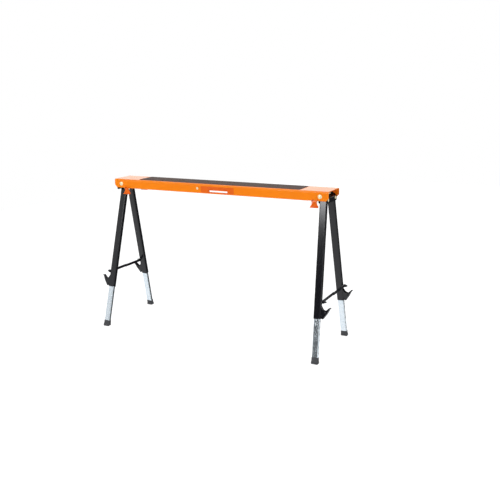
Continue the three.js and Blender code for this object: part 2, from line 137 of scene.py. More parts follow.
def panel_strength(tree):
    """The strength of the room's light: ROOM_GLOW plus every panel that lies that way."""
    split = tree.nodes.new("ShaderNodeSeparateXYZ")
    direction = tree.nodes.new("ShaderNodeTexCoord").outputs["Generated"]
    tree.links.new(direction, split.inputs[0])
    x, y, z = split.outputs
    azimuth = arithmetic(tree, "DEGREES", arithmetic(tree, "ARCTAN2", x, y))
    height = arithmetic(tree, "DEGREES", arithmetic(tree, "ARCSINE", z))
    total = ROOM_GLOW
    for (low, high), (bottom, top), edge, strength in PANELS:
        panel = arithmetic(tree, "MULTIPLY", window(tree, azimuth, low, high, edge),
                           window(tree, height, bottom, top, edge))
        total = arithmetic(tree, "MULTIPLY_ADD", panel, strength, total)
    return total


def make_world():
    """Lights the object by the panels, and shows the camera itself a plain white."""
    world = bpy.data.worlds.new("studio")
    bpy.context.scene.world = world
    world.use_nodes = True
    tree = world.node_tree
    tree.nodes.clear()
    lit = tree.nodes.new("ShaderNodeBackground")
    wire(tree, ROOM_TINT, lit.inputs["Color"])
    wire(tree, panel_strength(tree), lit.inputs["Strength"])
    seen = tree.nodes.new("ShaderNodeBackground")
    wire(tree, BACKDROP_WHITE, seen.inputs["Color"])
    mix = tree.nodes.new("ShaderNodeMixShader")
    camera_ray = tree.nodes.new("ShaderNodeLightPath").outputs["Is Camera Ray"]
    for value, socket in zip((camera_ray, lit.outputs[0], seen.outputs[0]), mix.inputs):
        wire(tree, value, socket)
    output = tree.nodes.new("ShaderNodeOutputWorld")
    wire(tree, mix.outputs[0], output.inputs["Surface"])


def make_floor():
    """A disc of FLOOR_RADIUS whose middle lies a little behind the object. Reflections
    show the world's own floor panels in its place."""
    angles = np.linspace(0, 2 * pi, FLOOR_SIDES, endpoint=False)
    rim = np.stack([FLOOR_RADIUS * np.cos(angles), FLOOR_RADIUS * np.sin(angles) + FLOOR_BACK,
                    np.full(FLOOR_SIDES, -FLOOR_SINK)], 1)
    mesh = bpy.data.meshes.new("floor")
    mesh.from_pydata(rim.tolist(), [], [list(range(FLOOR_SIDES))])
    material = bpy.data.materials.new("studio_floor")
    material.use_nodes = True
    shader = material.node_tree.nodes["Principled BSDF"]
    shader.inputs["Base Color"].default_value = (*FLOOR_GREY, 1)
    shader.inputs["Roughness"].default_value = FLOOR_ROUGHNESS
    shader.inputs["Emission Color"].default_value = (*BACKDROP_WHITE, 1)
    shader.inputs["Emission Strength"].default_value = FLOOR_GLOW
    mesh.materials.append(material)
    floor = bpy.data.objects.new("floor", mesh)
    bpy.context.scene.collection.objects.link(floor)
    floor.visible_glossy = False


make_camera()
make_world()
make_floor()
area_light("overhead_softbox", place=(0.2, 0.1, 2.6), aim=(0, 0, 0.5), size=(2.6, 1.8), watts=14)
area_light("front_softbox", place=(-0.7, -3.2, 1.5), aim=(0, 0, 0.6), size=(1.5, 1.5), watts=22,
           mirrored=False)
bpy.context.scene.view_settings.view_transform = "Standard"


# ------------------------------------------------------------------ beam
# Pressed steel channel, open downwards, bent from one 2 mm sheet and powder coated orange:
# rounded top edges, short turned-in lips, lower corners cut off at the ends, and a window
# in the front flange for the carry handle.
BEAM_LENGTH, BEAM_WIDTH, BEAM_DEPTH = 1.000, 0.112, 0.035
BEAM_TOP = 0.645
BEAM_SHEET = 2 * MM
BEAM_EDGE_RADIUS, LIP_RADIUS = 5 * MM, 2.2 * MM
LIP_WIDTH, LIP_END = 4.5 * MM, 0.415
END_CUT = 11 * MM
BEAM_STATIONS = np.linspace(-0.4, 0.4, 17)
CUT_EDGE_ROUNDING = 0.35 * MM
WINDOW_MIDDLE, WINDOW_LENGTH = 18 * MM, 0.118
WINDOW_BOTTOM, WINDOW_TOP = 0.613, 0.6355


def filleted(corners, radii, steps=6, closed=False):
    """A polyline in a plane with its corners rounded: an arc of the given radius, tangent
    to both neighbouring sides, takes a corner's place. A radius of 0 keeps it sharp."""
    corners = np.asarray(corners, float)
    radii = np.broadcast_to(radii, len(corners))
    out = []
    for i, (corner, radius) in enumerate(zip(corners, radii)):
        inner = closed or 0 < i < len(corners) - 1
        if not inner or radius == 0:
            out.append(corner[None])
            continue
        arrive = corner - corners[i - 1]
        leave = corners[(i + 1) % len(corners)] - corner
        arrive, leave = arrive / np.linalg.norm(arrive), leave / np.linalg.norm(leave)
        cross = arrive[0] * leave[1] - arrive[1] * leave[0]
        turn = np.arctan2(cross, arrive @ leave)
        start = corner - arrive * radius * np.tan(abs(turn) / 2)
        spoke = np.sign(turn) * radius * np.array([arrive[1], -arrive[0]])
        a = np.linspace(0, turn, steps + 1)
        turned = np.stack([spoke[0] * np.cos(a) - spoke[1] * np.sin(a),
                           spoke[0] * np.sin(a) + spoke[1] * np.cos(a)], 1)
        out.append(start - spoke + turned)
    return np.concatenate(out)


def surface(grid, close_u=False, close_v=False, keep=None, caps=()):
    """Points and faces of a quad surface on a grid of points (rows, columns, 3). close_u and
    close_v join the last row or column to the first, keep is a mask of the quads that stay,
    and caps names the rows (0 or -1) that get one flat face over their whole loop."""
    rows, columns = grid.shape[:2]
    index = np.arange(rows * columns).reshape(rows, columns)
    loops = index
    if close_u:
        index = np.vstack([index, index[:1]])
    if close_v:
        index = np.hstack([index, index[:, :1]])
    quads = np.stack([index[:-1, :-1], index[1:, :-1], index[1:, 1:], index[:-1, 1:]], -1)
    quads = quads.reshape(-1, 4) if keep is None else quads[keep]
    return grid.reshape(-1, 3), quads.tolist() + [loops[row].tolist() for row in caps]


def make_object(name, *surfaces, at=None, closed=True, merge=2e-6):
    """One mesh object from one or more (points, faces), with doubles merged and, when it
    is closed, its faces turned outwards. at is the frame that the points are drawn in."""
    points, faces, offset = [], [], 0
    for part_points, part_faces in surfaces:
        points.append(part_points)
        faces += [[corner + offset for corner in face] for face in part_faces]
        offset += len(part_points)
    mesh = bpy.data.meshes.new(name)
    mesh.from_pydata(np.concatenate(points).tolist(), [], faces)
    if at is not None:
        mesh.transform(at)
    work = bmesh.new()
    work.from_mesh(mesh)
    bmesh.ops.remove_doubles(work, verts=work.verts, dist=merge)
    bmesh.ops.dissolve_degenerate(work, edges=work.edges, dist=merge)
    if closed:
        bmesh.ops.recalc_face_normals(work, faces=work.faces)
    work.to_mesh(mesh)
    work.free()
    piece = bpy.data.objects.new(name, mesh)
    bpy.context.scene.collection.objects.link(piece)
    return piece


def settle(piece, smooth_angle=35):
    """Applies the piece's modifiers to its mesh, then shades it smooth but for edges sharper
    than smooth_angle degrees, with large flat faces kept flat by weighted normals."""
    for weighted in (False, True):
        if weighted:
            piece.data.shade_smooth()
            piece.data.set_sharp_from_angle(angle=radians(smooth_angle))
            flat = piece.modifiers.new("flat_faces", "WEIGHTED_NORMAL")
            flat.keep_sharp = True
        graph = bpy.context.evaluated_depsgraph_get()
        mesh = bpy.data.meshes.new_from_object(piece.evaluated_get(graph))
        piece.modifiers.clear()
        piece.data = mesh
    return piece


def thicken(piece, thickness, bevel):
    """Gives an open sheet its thickness, behind its faces, and eases its cut edges."""
    wall = piece.modifiers.new("sheet", "SOLIDIFY")
    wall.thickness, wall.offset, wall.use_even_offset = thickness, -1, True
    return ease(piece, bevel)


def ease(piece, bevel, limit=50):
    """Rounds every edge sharper than limit degrees a little, then settles the piece."""
    edge = piece.modifiers.new("eased_edges", "BEVEL")
    edge.width, edge.segments = bevel, 2
    edge.limit_method, edge.angle_limit = "ANGLE", radians(limit)
    return settle(piece)


def node_group(name, inputs, outputs):
    """An empty shader node group with float sockets; gives its tree and its two ends."""
    tree = bpy.data.node_groups.new(name, "ShaderNodeTree")
    for label, value in inputs.items():
        socket = tree.interface.new_socket(label, in_out="INPUT", socket_type="NodeSocketFloat")
        socket.default_value = value
    for label in outputs:
        tree.interface.new_socket(label, in_out="OUTPUT", socket_type="NodeSocketFloat")
    return tree, tree.nodes.new("NodeGroupInput"), tree.nodes.new("NodeGroupOutput")


def noise(tree, scale, detail=2.0, roughness=0.5, stretch=(1, 1, 1)):
    """A noise texture on Object coordinates, with each axis first scaled by stretch."""
    coordinate = tree.nodes.new("ShaderNodeTexCoord")
    mapping = tree.nodes.new("ShaderNodeMapping")
    mapping.inputs["Scale"].default_value = stretch
    texture = tree.nodes.new("ShaderNodeTexNoise")
    tree.links.new(coordinate.outputs["Object"], mapping.inputs["Vector"])
    tree.links.new(mapping.outputs["Vector"], texture.inputs["Vector"])
    wire(tree, scale, texture.inputs["Scale"])
    wire(tree, detail, texture.inputs["Detail"])
    wire(tree, roughness, texture.inputs["Roughness"])
    return texture.outputs["Fac"]


def fit_range(tree, value, low, high, to_low=0.0, to_high=1.0):
    """Maps value from low..high to to_low..to_high, clamped."""
    node = tree.nodes.new("ShaderNodeMapRange")
    ends = zip(("From Min", "From Max", "To Min", "To Max"), (low, high, to_low, to_high))
    for label, end in ends:
        wire(tree, end, node.inputs[label])
    tree.links.new(value, node.inputs["Value"])
    return node.outputs["Result"]


def blend_colours(tree, mask, below, above):
    """below where mask is 0 and above where it is 1; each is a colour or a socket. The
    node has one set of sockets for each kind of value, so the colours' own are picked."""
    node = tree.nodes.new("ShaderNodeMix")
    node.data_type = "RGBA"
    first, second = (socket for socket in node.inputs if socket.type == "RGBA")
    wire(tree, mask, node.inputs["Factor"])
    wire(tree, below, first)
    wire(tree, above, second)
    return next(socket for socket in node.outputs if socket.type == "RGBA")


def build_lit_edge_group():
    """Mask of lightened edges, a painted edge highlight that also stands for rubbed paint: where
    the normal, rounded over Width, leaves the true one, with the line broken up by noise."""
    tree, start, end = node_group("edge_wear_and_highlight", {"Width": 0.8 * MM, "Amount": 0.5}, ["Mask"])
    rounded = tree.nodes.new("ShaderNodeBevel")
    rounded.samples = 4
    facing = tree.nodes.new("ShaderNodeVectorMath")
    facing.operation = "DOT_PRODUCT"
    tree.links.new(start.outputs["Width"], rounded.inputs["Radius"])
    tree.links.new(rounded.outputs["Normal"], facing.inputs[0])
    geometry = tree.nodes.new("ShaderNodeNewGeometry")
    tree.links.new(geometry.outputs["Normal"], facing.inputs[1])
    line = fit_range(tree, facing.outputs["Value"], 0.97, 0.8)
    broken = fit_range(tree, noise(tree, scale=160, detail=5, roughness=0.6), 0.44, 0.62)
    mask = arithmetic(tree, "MULTIPLY", line, broken)
    mask = arithmetic(tree, "MULTIPLY", mask, start.outputs["Amount"])
    tree.links.new(mask, end.inputs["Mask"])
    return tree


def make_powder_skin():
    """A sprayed and baked coating: Height is its fine orange peel, Tone a slow unevenness
    from 0 to 1, and Scuff a mask of faint handling marks."""
    tree, start, end = node_group(
        "powder_skin", {"Grain": 700.0, "Marks": 0.5}, ["Height", "Tone", "Scuff"])
    tree.links.new(noise(tree, scale=start.outputs["Grain"]), end.inputs["Height"])
    tone = fit_range(tree, noise(tree, scale=9, detail=3), 0.3, 0.7)
    scratch = noise(tree, scale=55, detail=8, roughness=0.72, stretch=(0.35, 1, 1))
    scratch = fit_range(tree, scratch, 0.62, 0.74)
    scuff = arithmetic(tree, "MULTIPLY", scratch, start.outputs["Marks"])
    tree.links.new(tone, end.inputs["Tone"])
    tree.links.new(scuff, end.inputs["Scuff"])
    return tree


edge_wear_and_highlight, powder_skin = build_lit_edge_group(), make_powder_skin()


def use_group(tree, group, **values):
    """Places a node group in a material's tree with its own values."""
    node = tree.nodes.new("ShaderNodeGroup")
    node.node_tree = group
    for label, value in values.items():
        node.inputs[label].default_value = value
    return node.outputs


def new_material(name, roughness, metallic=0.0, coat=0.0):
    """A material with one Principled shader; gives the material, its tree and the shader."""
    material = bpy.data.materials.new(name)
    material.use_nodes = True
    shader = material.node_tree.nodes["Principled BSDF"]
    shader.inputs["Roughness"].default_value = roughness
    shader.inputs["Metallic"].default_value = metallic
    shader.inputs["Coat Weight"].default_value = coat
    shader.inputs["Coat Roughness"].default_value = 0.08
    return material, material.node_tree, shader


def add_bump(tree, shader, height, strength, distance=0.05 * MM):
    """Feeds a height into the shader's normal through a Bump node."""
    bump = tree.nodes.new("ShaderNodeBump")
    bump.inputs["Strength"].default_value = strength
    bump.inputs["Distance"].default_value = distance
    tree.links.new(height, bump.inputs["Height"])
    tree.links.new(bump.outputs["Normal"], shader.inputs["Normal"])


def powder_coat(name, colour, deep, worn_and_lit, roughness, coat, marks, edges, specular=0.5):
    """Powder coat over steel: its colour drifts a little to deep, scuffs go towards a lighter
    wear colour and a little rougher, and the edges are lightened towards that colour too, a
    painted edge highlight as well as rubbed paint."""
    material, tree, shader = new_material(name, roughness, coat=coat)
    shader.inputs["Specular IOR Level"].default_value = specular
    skin = use_group(tree, powder_skin, Marks=marks)
    edge_light = use_group(tree, edge_wear_and_highlight, Amount=edges)
    base = blend_colours(tree, skin["Tone"], colour, deep)
    base = blend_colours(tree, skin["Scuff"], base, worn_and_lit)
    # Painted edge highlight, also rubbed paint: the edges are lightened towards the wear colour.
    base = blend_colours(tree, edge_light["Mask"], base, worn_and_lit)
    tree.links.new(base, shader.inputs["Base Color"])
    rough = fit_range(tree, skin["Scuff"], 0.0, 1.0, roughness, min(roughness + 0.3, 1))
    tree.links.new(rough, shader.inputs["Roughness"])
    add_bump(tree, shader, skin["Height"], 0.12)
    return material


# Its lighter colour is for scuffs and for the painted highlight along its edges.
orange_paint = powder_coat(
    "orange_powder_coat", colour=(0.90, 0.225, 0.001), deep=(0.84, 0.20, 0.001),
    worn_and_lit=(0.93, 0.38, 0.06), roughness=0.4, coat=0.4, marks=0.12, edges=0.3, specular=0.2)


def finish_piece(piece, body, slot, material, *nodes):
    """Gives a piece its material and its body, and hides the CAD nodes it stands for; slot, its
    finish, is not used.
    """
    piece.data.materials.clear()
    piece.data.materials.append(material)
    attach(piece, body)
    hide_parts(*nodes)
    return piece


def make_beam():
    """The channel's outer outline, from lip to lip, carried along X. Near the ends the
    flange's lower edge rises with the cut corner, and the lips stop short of the yokes."""
    half, bottom, end = BEAM_WIDTH / 2, BEAM_TOP - BEAM_DEPTH, BEAM_LENGTH / 2
    side = [(half, BEAM_TOP), (half, WINDOW_TOP), (half, WINDOW_BOTTOM), (half, bottom),
            (half - LIP_WIDTH, bottom)]
    radii = [BEAM_EDGE_RADIUS, 0, 0, LIP_RADIUS, 0]
    mirrored = [(-y, z) for y, z in reversed(side)]
    outline = filleted(mirrored + side, radii[::-1] + radii, 8)
    window = [WINDOW_MIDDLE - WINDOW_LENGTH / 2, WINDOW_MIDDLE + WINDOW_LENGTH / 2]
    x = np.unique([-end, END_CUT - end, -LIP_END, *window, LIP_END, end - END_CUT, end,
                   *BEAM_STATIONS])
    y, z = (np.repeat(column[:, None], len(x), 1) for column in outline.T)
    bend = (z < bottom + LIP_RADIUS) & (np.abs(x) > LIP_END)
    y[bend] = np.sign(y[bend]) * half
    z[bend & (np.abs(outline[:, :1]) < half - LIP_RADIUS / 2)] = bottom
    z = np.maximum(z, bottom + np.maximum(0, END_CUT - (end - np.abs(x))))
    grid = np.stack([np.broadcast_to(x, y.shape), y, z], -1)
    middle = (outline[1:] + outline[:-1]) / 2
    middle_x = (x[1:] + x[:-1]) / 2
    lips = np.abs(middle[:, 0]) < half - LIP_RADIUS / 2
    lips &= middle[:, 1] < bottom + LIP_RADIUS
    keep = ~(lips[:, None] & (np.abs(middle_x) > LIP_END))
    front = (middle[:, 0] < 0) & (middle[:, 1] > WINDOW_BOTTOM) & (middle[:, 1] < WINDOW_TOP)
    keep &= ~(front[:, None] & (middle_x > window[0]) & (middle_x < window[1]))
    channel = make_object("beam_channel", surface(grid, keep=keep), closed=False)
    return thicken(channel, BEAM_SHEET, CUT_EDGE_ROUNDING)


finish_piece(make_beam(), "beam_frame", "orange_paint", orange_paint, "beam")


# ------------------------------------------------------------------ anti-slip mat
# Black rubber strip glued along the top, moulded with fine ribs that run with the beam.
# Its corners are rounded, and the ribs run out just before its ends.
MAT_LENGTH, MAT_WIDTH, MAT_CORNER = 0.756, 0.094, 6 * MM
MAT_BOTTOM, MAT_TOP = 0.6453, 0.6483
MAT_RIM = 0.6 * MM
RIB_COUNT, RIB_HEIGHT, RIB_RUN_OUT, RIB_STEPS = 21, 0.8 * MM, 5 * MM, 10
END_ROWS = np.array([0, 0.1, 0.35, 0.8, 1.5, 3, 5, 8]) * MM
MIDDLE_ROWS = np.array([0.1, 0.2, 0.3])


def make_mat():
    """A slab whose top is z = top - rib height * (1 - |cos|) across, with the ribs faded
    out towards the ends, and a quarter-round rim. At width y it reaches x = length / 2 less
    the corner's arc. Its rows are close together near the ends."""
    half_width = MAT_WIDTH / 2
    ribs = np.linspace(-half_width, half_width, RIB_COUNT * RIB_STEPS + 1)
    round_off = half_width * np.sin(np.linspace(-pi / 2, pi / 2, 41))
    y = np.unique(np.round(np.concatenate([ribs, round_off]), 7))
    past = np.maximum(0, np.abs(y) - (half_width - MAT_CORNER))
    reach = MAT_LENGTH / 2 - MAT_CORNER + np.sqrt(np.maximum(MAT_CORNER**2 - past**2, 0))
    share = 1 - np.concatenate([END_ROWS, MIDDLE_ROWS]) / (MAT_LENGTH / 2)
    share = np.concatenate([-share, share[::-1]])
    x = share[:, None] * reach
    from_end = (1 - np.abs(share))[:, None] * MAT_LENGTH / 2
    from_side = half_width - np.abs(y)
    fade = np.clip(from_end / RIB_RUN_OUT, 0, 1)
    wave = np.abs(np.cos(pi * RIB_COUNT * (y / MAT_WIDTH + 0.5)))
    top = MAT_TOP - RIB_HEIGHT * (1 - wave) * fade
    edge = np.clip(np.minimum(from_end, from_side[None]) / MAT_RIM, 0, 1)
    top = top - MAT_RIM * (1 - np.sqrt(1 - (1 - edge) ** 2))
    upper = np.stack([x, np.broadcast_to(y, x.shape), top], -1)
    lower = np.stack([x, np.broadcast_to(y, x.shape), np.full_like(x, MAT_BOTTOM)], -1)
    around = np.concatenate([upper, lower[:, ::-1]], 1)
    ends = [surface(np.stack([upper[row], lower[row]])) for row in (0, -1)]
    return settle(make_object("ribbed_mat", surface(around, close_v=True), *ends), 60)


def moulded_rubber(name, colour, dusty, roughness, grain, strength, specular=0.5):
    """Rubber out of a steel mould: a fine leathery grain, and pale dust that gathers
    unevenly and makes it a little rougher."""
    material, tree, shader = new_material(name, roughness)
    shader.inputs["Specular IOR Level"].default_value = specular
    dust = fit_range(tree, noise(tree, scale=45, detail=6, roughness=0.65), 0.45, 0.75)
    slow = fit_range(tree, noise(tree, scale=6), 0.35, 0.65)
    dust = arithmetic(tree, "MULTIPLY", dust, slow)
    tree.links.new(blend_colours(tree, dust, colour, dusty), shader.inputs["Base Color"])
    rough = fit_range(tree, dust, 0.0, 1.0, roughness, min(roughness + 0.25, 1))
    tree.links.new(rough, shader.inputs["Roughness"])
    leather = noise(tree, scale=grain, detail=3, roughness=0.6)
    add_bump(tree, shader, leather, strength, distance=0.15 * MM)
    return material


mat_rubber = moulded_rubber(
    "ribbed_mat_rubber", colour=(0.060, 0.032, 0.023), dusty=(0.12, 0.078, 0.062),
    roughness=0.6, grain=900, strength=0.35, specular=0.35)
finish_piece(make_mat(), "beam_frame", "mat_rubber", mat_rubber, "anti_slip_mat")


# ------------------------------------------------------------------ carry handle
# Moulded grip frame, clipped into the window of the front flange: a bezel that stands proud
# of the paint, a finger slot right through it, three grooves along the grip above the slot,
# and at its left one bright rivet.
HANDLE_MIDDLE, HANDLE_LENGTH = 18 * MM, 0.155
HANDLE_BOTTOM, HANDLE_TOP, HANDLE_CORNER = 0.6115, 0.6385, 4 * MM
HANDLE_FRONT, HANDLE_SEAT, HANDLE_BACK = -0.0585, -0.0563, -0.050
SLOT_MIDDLE, SLOT_LENGTH = 22 * MM, 0.088
SLOT_BOTTOM, SLOT_TOP, SLOT_CORNER = 0.615, 0.6225, 3 * MM
GROOVE_HEIGHTS, GROOVE_WIDTH, GROOVE_DEPTH = (0.6265, 0.6305, 0.6345), 2.6 * MM, 1.1 * MM
GROOVE_RUN_OUT, FACE_LOOPS = 6 * MM, 64
LOOP_SIDE, LOOP_CORNER = 60, 8
# Roundings, in millimetres: how far each loop lies in from the bezel's outline, or out from
# the slot's, and how deep it lies behind the face.
BEZEL_ROUNDING = ((0, 0.8), (0.25, 0.25))
SLOT_ROUNDING = ((0.4, 0.4), (0, 1))
FACE_INSET, FACE_SPREAD = 0.9 * MM, 1.2 * MM
BODY_GAP, BODY_CORNER = 0.3 * MM, 1 * MM


def smooth(share):
    """The smooth step 3 t^2 - 2 t^3 of a share from 0 to 1."""
    return share * share * (3 - 2 * share)


def rounded_loop(x0, x1, z0, z1, radius, along=LOOP_SIDE):
    """A closed rounded rectangle with a fixed number of points on each side and corner, so
    that two such loops can be joined point by point."""
    corners = np.array([(x1, z0), (x1, z1), (x0, z1), (x0, z0)])
    arcs = filleted(corners, radius, LOOP_CORNER, closed=True).reshape(4, LOOP_CORNER + 1, 2)
    share = np.linspace(0, 1, along + 1)[1:-1, None]
    sides = [arc for i in range(4)
             for arc in (arcs[i], arcs[i, -1] + share * (arcs[(i + 1) % 4, 0] - arcs[i, -1]))]
    return np.concatenate(sides)


def make_handle():
    """Loops stacked from the seat over the bezel's edge, in across the face, through the
    slot, and back round the body behind. A groove sinks the face by depth * cos^2 across
    its width, and runs out smoothly past the slot's ends."""
    half = HANDLE_LENGTH / 2

    def outer(inset):
        return rounded_loop(HANDLE_MIDDLE - half + inset, HANDLE_MIDDLE + half - inset,
                            HANDLE_BOTTOM + inset, HANDLE_TOP - inset, HANDLE_CORNER - inset)

    def opening(spread):
        reach = SLOT_LENGTH / 2 + spread
        return rounded_loop(SLOT_MIDDLE - reach, SLOT_MIDDLE + reach, SLOT_BOTTOM - spread,
                            SLOT_TOP + spread, SLOT_CORNER + spread)

    loops = [(outer(0), HANDLE_SEAT)]
    loops += [(outer(inset * MM), HANDLE_FRONT + deep * MM) for inset, deep in BEZEL_ROUNDING]
    start, stop = outer(FACE_INSET), opening(FACE_SPREAD)
    loops += [(start + (stop - start) * t, HANDLE_FRONT) for t in np.linspace(0, 1, FACE_LOOPS)]
    loops += [(opening(spread * MM), HANDLE_FRONT + deep * MM) for spread, deep in SLOT_ROUNDING]
    body_half = WINDOW_LENGTH / 2 - BODY_GAP
    body = rounded_loop(WINDOW_MIDDLE - body_half, WINDOW_MIDDLE + body_half,
                        WINDOW_BOTTOM + BODY_GAP, WINDOW_TOP - BODY_GAP, BODY_CORNER)
    loops += [(opening(0), HANDLE_BACK), (body, HANDLE_BACK), (body, HANDLE_SEAT)]
    plan = np.stack([loop for loop, _ in loops])
    depth = np.repeat([[y] for _, y in loops], plan.shape[1], 1)
    on_face = np.isclose(depth, HANDLE_FRONT)
    past = np.abs(plan[..., 0] - SLOT_MIDDLE) - SLOT_LENGTH / 2
    run_out = smooth(np.clip(1 - past / GROOVE_RUN_OUT, 0, 1))
    for height in GROOVE_HEIGHTS:
        across = np.clip(np.abs(plan[..., 1] - height) / GROOVE_WIDTH, 0, 0.5)
        depth = depth + on_face * run_out * GROOVE_DEPTH * np.cos(pi * across) ** 2
    grid = np.stack([plan[..., 0], depth, plan[..., 1]], -1)
    return settle(make_object("grip_frame", surface(grid, close_u=True, close_v=True)), 62)


# Its lighter colour is for scuffs and for the painted highlight along its edges.
red_orange_paint = powder_coat(
    "red_orange_coat", colour=(0.80, 0.140, 0.003), deep=(0.72, 0.112, 0.002),
    worn_and_lit=(0.88, 0.28, 0.08), roughness=0.38, coat=0.3, marks=0.2, edges=0.35, specular=0.3)
finish_piece(make_handle(), "beam_frame", "red_orange_paint", red_orange_paint, "carry_handle")


# The rivet beside it, as (along, radius) outwards from its seat on the flange, and its dome.
RIVET_X, RIVET_HEIGHT, RIVET_SEAT = -0.076, 0.628, BEAM_WIDTH / 2 + 0.3 * MM
RIVET_TAIL = ((-4, 0), (-4, 3.4), (-3.4, 4), (-2.6, 4), (-2.6, 2.5), (0, 2.5), (0, 5.3))
RIVET_DOME_BASE, RIVET_DOME_TOP, RIVET_DOME_RADIUS = 0.6, 3.2, 5.6


def turned(profile, sides=40, hexagon=0.0):
    """A closed turned piece about X: profile is a row of (along, radius) from axis to axis
    or closed on itself. With hexagon set, radii past it are held to a hexagon's flats."""
    profile = np.asarray(profile, float)
    angle = np.linspace(0, 2 * pi, sides, endpoint=False)
    radius = np.repeat(profile[:, 1:], sides, 1)
    if hexagon:
        flats = hexagon / np.cos((angle + pi / 6) % (pi / 3) - pi / 6)
        radius = np.minimum(radius, flats)
    along = np.repeat(profile[:, :1], sides, 1)
    grid = np.stack([along, radius * np.cos(angle), radius * np.sin(angle)], -1)
    ring = not (profile[0, 1] == 0 and profile[-1, 1] == 0)
    return surface(grid, close_u=ring, close_v=True)


def dome(base, top, radius, steps=8):
    """Half the outline of a domed head, from its rim at base to the axis at top."""
    angle = np.linspace(0, pi / 2, steps)
    return np.stack([base + (top - base) * np.sin(angle), radius * np.cos(angle)], 1)


def along_y(x, z, towards=1):
    """The frame of a turned piece whose axis runs along Y through x and z."""
    return placement((x, 0, z), (0, towards, 0), (-towards, 0, 0), (0, 0, 1))


def make_handle_rivet():
    """A low dome on the flange, a shank through it and a set head behind."""
    head = dome(RIVET_DOME_BASE, RIVET_DOME_TOP, RIVET_DOME_RADIUS)
    profile = np.vstack([RIVET_TAIL, head]) * MM + (RIVET_SEAT, 0)
    return settle(make_object("handle_rivet", turned(profile),
                              at=along_y(RIVET_X, RIVET_HEIGHT, -1)))


def plated_steel(name, colour, shade, roughness, passivation, metallic=1.0):
    """Bright steel: its tint wanders towards shade, as passivated plating does, its gloss
    is smeared, and it has a very fine grain. Matt plating is less than fully metallic."""
    material, tree, shader = new_material(name, roughness, metallic)
    tint = noise(tree, scale=70, detail=4, roughness=0.6)
    tint = fit_range(tree, tint, 0.35, 0.65, 0.0, passivation)
    tree.links.new(blend_colours(tree, tint, colour, shade), shader.inputs["Base Color"])
    smear = noise(tree, scale=240, detail=5, roughness=0.7)
    smear = fit_range(tree, smear, 0.3, 0.7, roughness - 0.08, roughness + 0.14)
    tree.links.new(smear, shader.inputs["Roughness"])
    grain = noise(tree, scale=1500, detail=3, roughness=0.6)
    add_bump(tree, shader, grain, strength=0.1, distance=0.02 * MM)
    return material


zinc_plate = plated_steel(
    "yellow_zinc_plate", colour=(1.0, 0.90, 0.60), shade=(0.95, 0.80, 0.46),
    roughness=0.4, passivation=0.8, metallic=0.45)
finish_piece(make_handle_rivet(), "beam_frame", "zinc_plate", zinc_plate, "handle_rivet")


# ------------------------------------------------------------------ board supports
# Four fold-out supports of pressed steel in a redder coat, one beside each leg: a hinge
# plate with two ears welded to the flange, a headed pin, and a hanging arm whose rolled
# barrel turns on it. They are drawn in millimetres, outwards from the flange along +Y.
SUPPORT_X = {"left": -0.433, "right": 0.4445}
MILLIMETRES = Matrix.Diagonal((MM, MM, MM, 1))
PIN_OUT, PIN_HEIGHT, PIN_RADIUS = 5.2, 606, 2
PIN_REACH, PIN_HEAD_RADIUS, PIN_HEAD = 10.8, 3.4, 1.4
PLATE_HALF, PLATE_NEAR, PLATE_FAR = 10.5, 0.3, 1.9
PLATE_BOTTOM, PLATE_TOP, PLATE_CORNER = 611, 630, 4
EAR_OUTLINE, EAR_RADII = ((0.3, 619), (0.3, 603), (8.2, 603), (8.2, 611)), (0, 1, 3, 3)
EAR_WALL = 2
ARM_TOP, ARM_LOW, ARM_BEND_RADIUS = 603, 585.2, 2.2
ARM_SHEET, ARM_LIP, ARM_ROWS = 2.4, 7, 26
# The arm's half width grows by each amount as the height falls through each range.
ARM_NECK, ARM_SHOULDER, ARM_FLARE = 7.5, (4, 603.5, 3.5), (5, 596, 8)
BARREL = ((-7.5, 2.3), (-7.5, 3.4), (-7.2, 3.6), (7.2, 3.6), (7.5, 3.4), (7.5, 2.3))


def slab(outline, low, high, axis=1):
    """A flat closed outline given thickness along one axis; its two columns are the other
    two axes in order."""
    outline = np.asarray(outline, float)
    levels = [np.insert(outline, axis, level, axis=1) for level in (low, high)]
    return surface(np.stack(levels), close_v=True, caps=(0, -1))


def strip(path, half_widths, thickness, radius=0.5):
    """A bent flat strip across X: its middle follows path in (y, z), and each place on it
    has its own half width. Both faces lie thickness / 2 off the path, along its normal."""
    path = np.asarray(path, float)
    ahead = np.gradient(path, axis=0)
    ahead /= np.linalg.norm(ahead, axis=1)[:, None]
    normal = np.stack([-ahead[:, 1], ahead[:, 0]], 1)
    half = thickness / 2
    loops = []
    for place, across, half_width in zip(path, normal, half_widths):
        loop = rounded_loop(-half_width, half_width, -half, half, radius, along=4)
        loops.append(np.column_stack([loop[:, 0], place + loop[:, 1:] * across]))
    return surface(np.stack(loops), close_v=True, caps=(0, -1))


def pin(reach, radius, head_radius, head):
    """A pin about X with a shallow domed head at each end, from -reach to reach between
    the heads."""
    far = dome(reach + 0.35 * head, reach + head, head_radius)
    near = dome(-reach - 0.35 * head, -reach - head, head_radius)[::-1]
    shank = [(-reach, head_radius), (-reach, radius), (reach, radius), (reach, head_radius)]
    return turned(np.vstack([near, shank, far]), 24)


def make_support_plate(at):
    """A back plate on the flange with rounded upper corners, between two ears."""
    back = filleted([(-PLATE_HALF, PLATE_BOTTOM), (PLATE_HALF, PLATE_BOTTOM),
                     (PLATE_HALF, PLATE_TOP), (-PLATE_HALF, PLATE_TOP)],
                    [0, 0, PLATE_CORNER, PLATE_CORNER], 5, True)
    ear = filleted(EAR_OUTLINE, EAR_RADII, 5, True)
    ears = [slab(ear, x, x + EAR_WALL, axis=0) for x in (-PLATE_HALF, PLATE_HALF - EAR_WALL)]
    plate = make_object("support_plate", slab(back, PLATE_NEAR, PLATE_FAR), *ears, at=at)
    return ease(plate, 0.3 * MM)


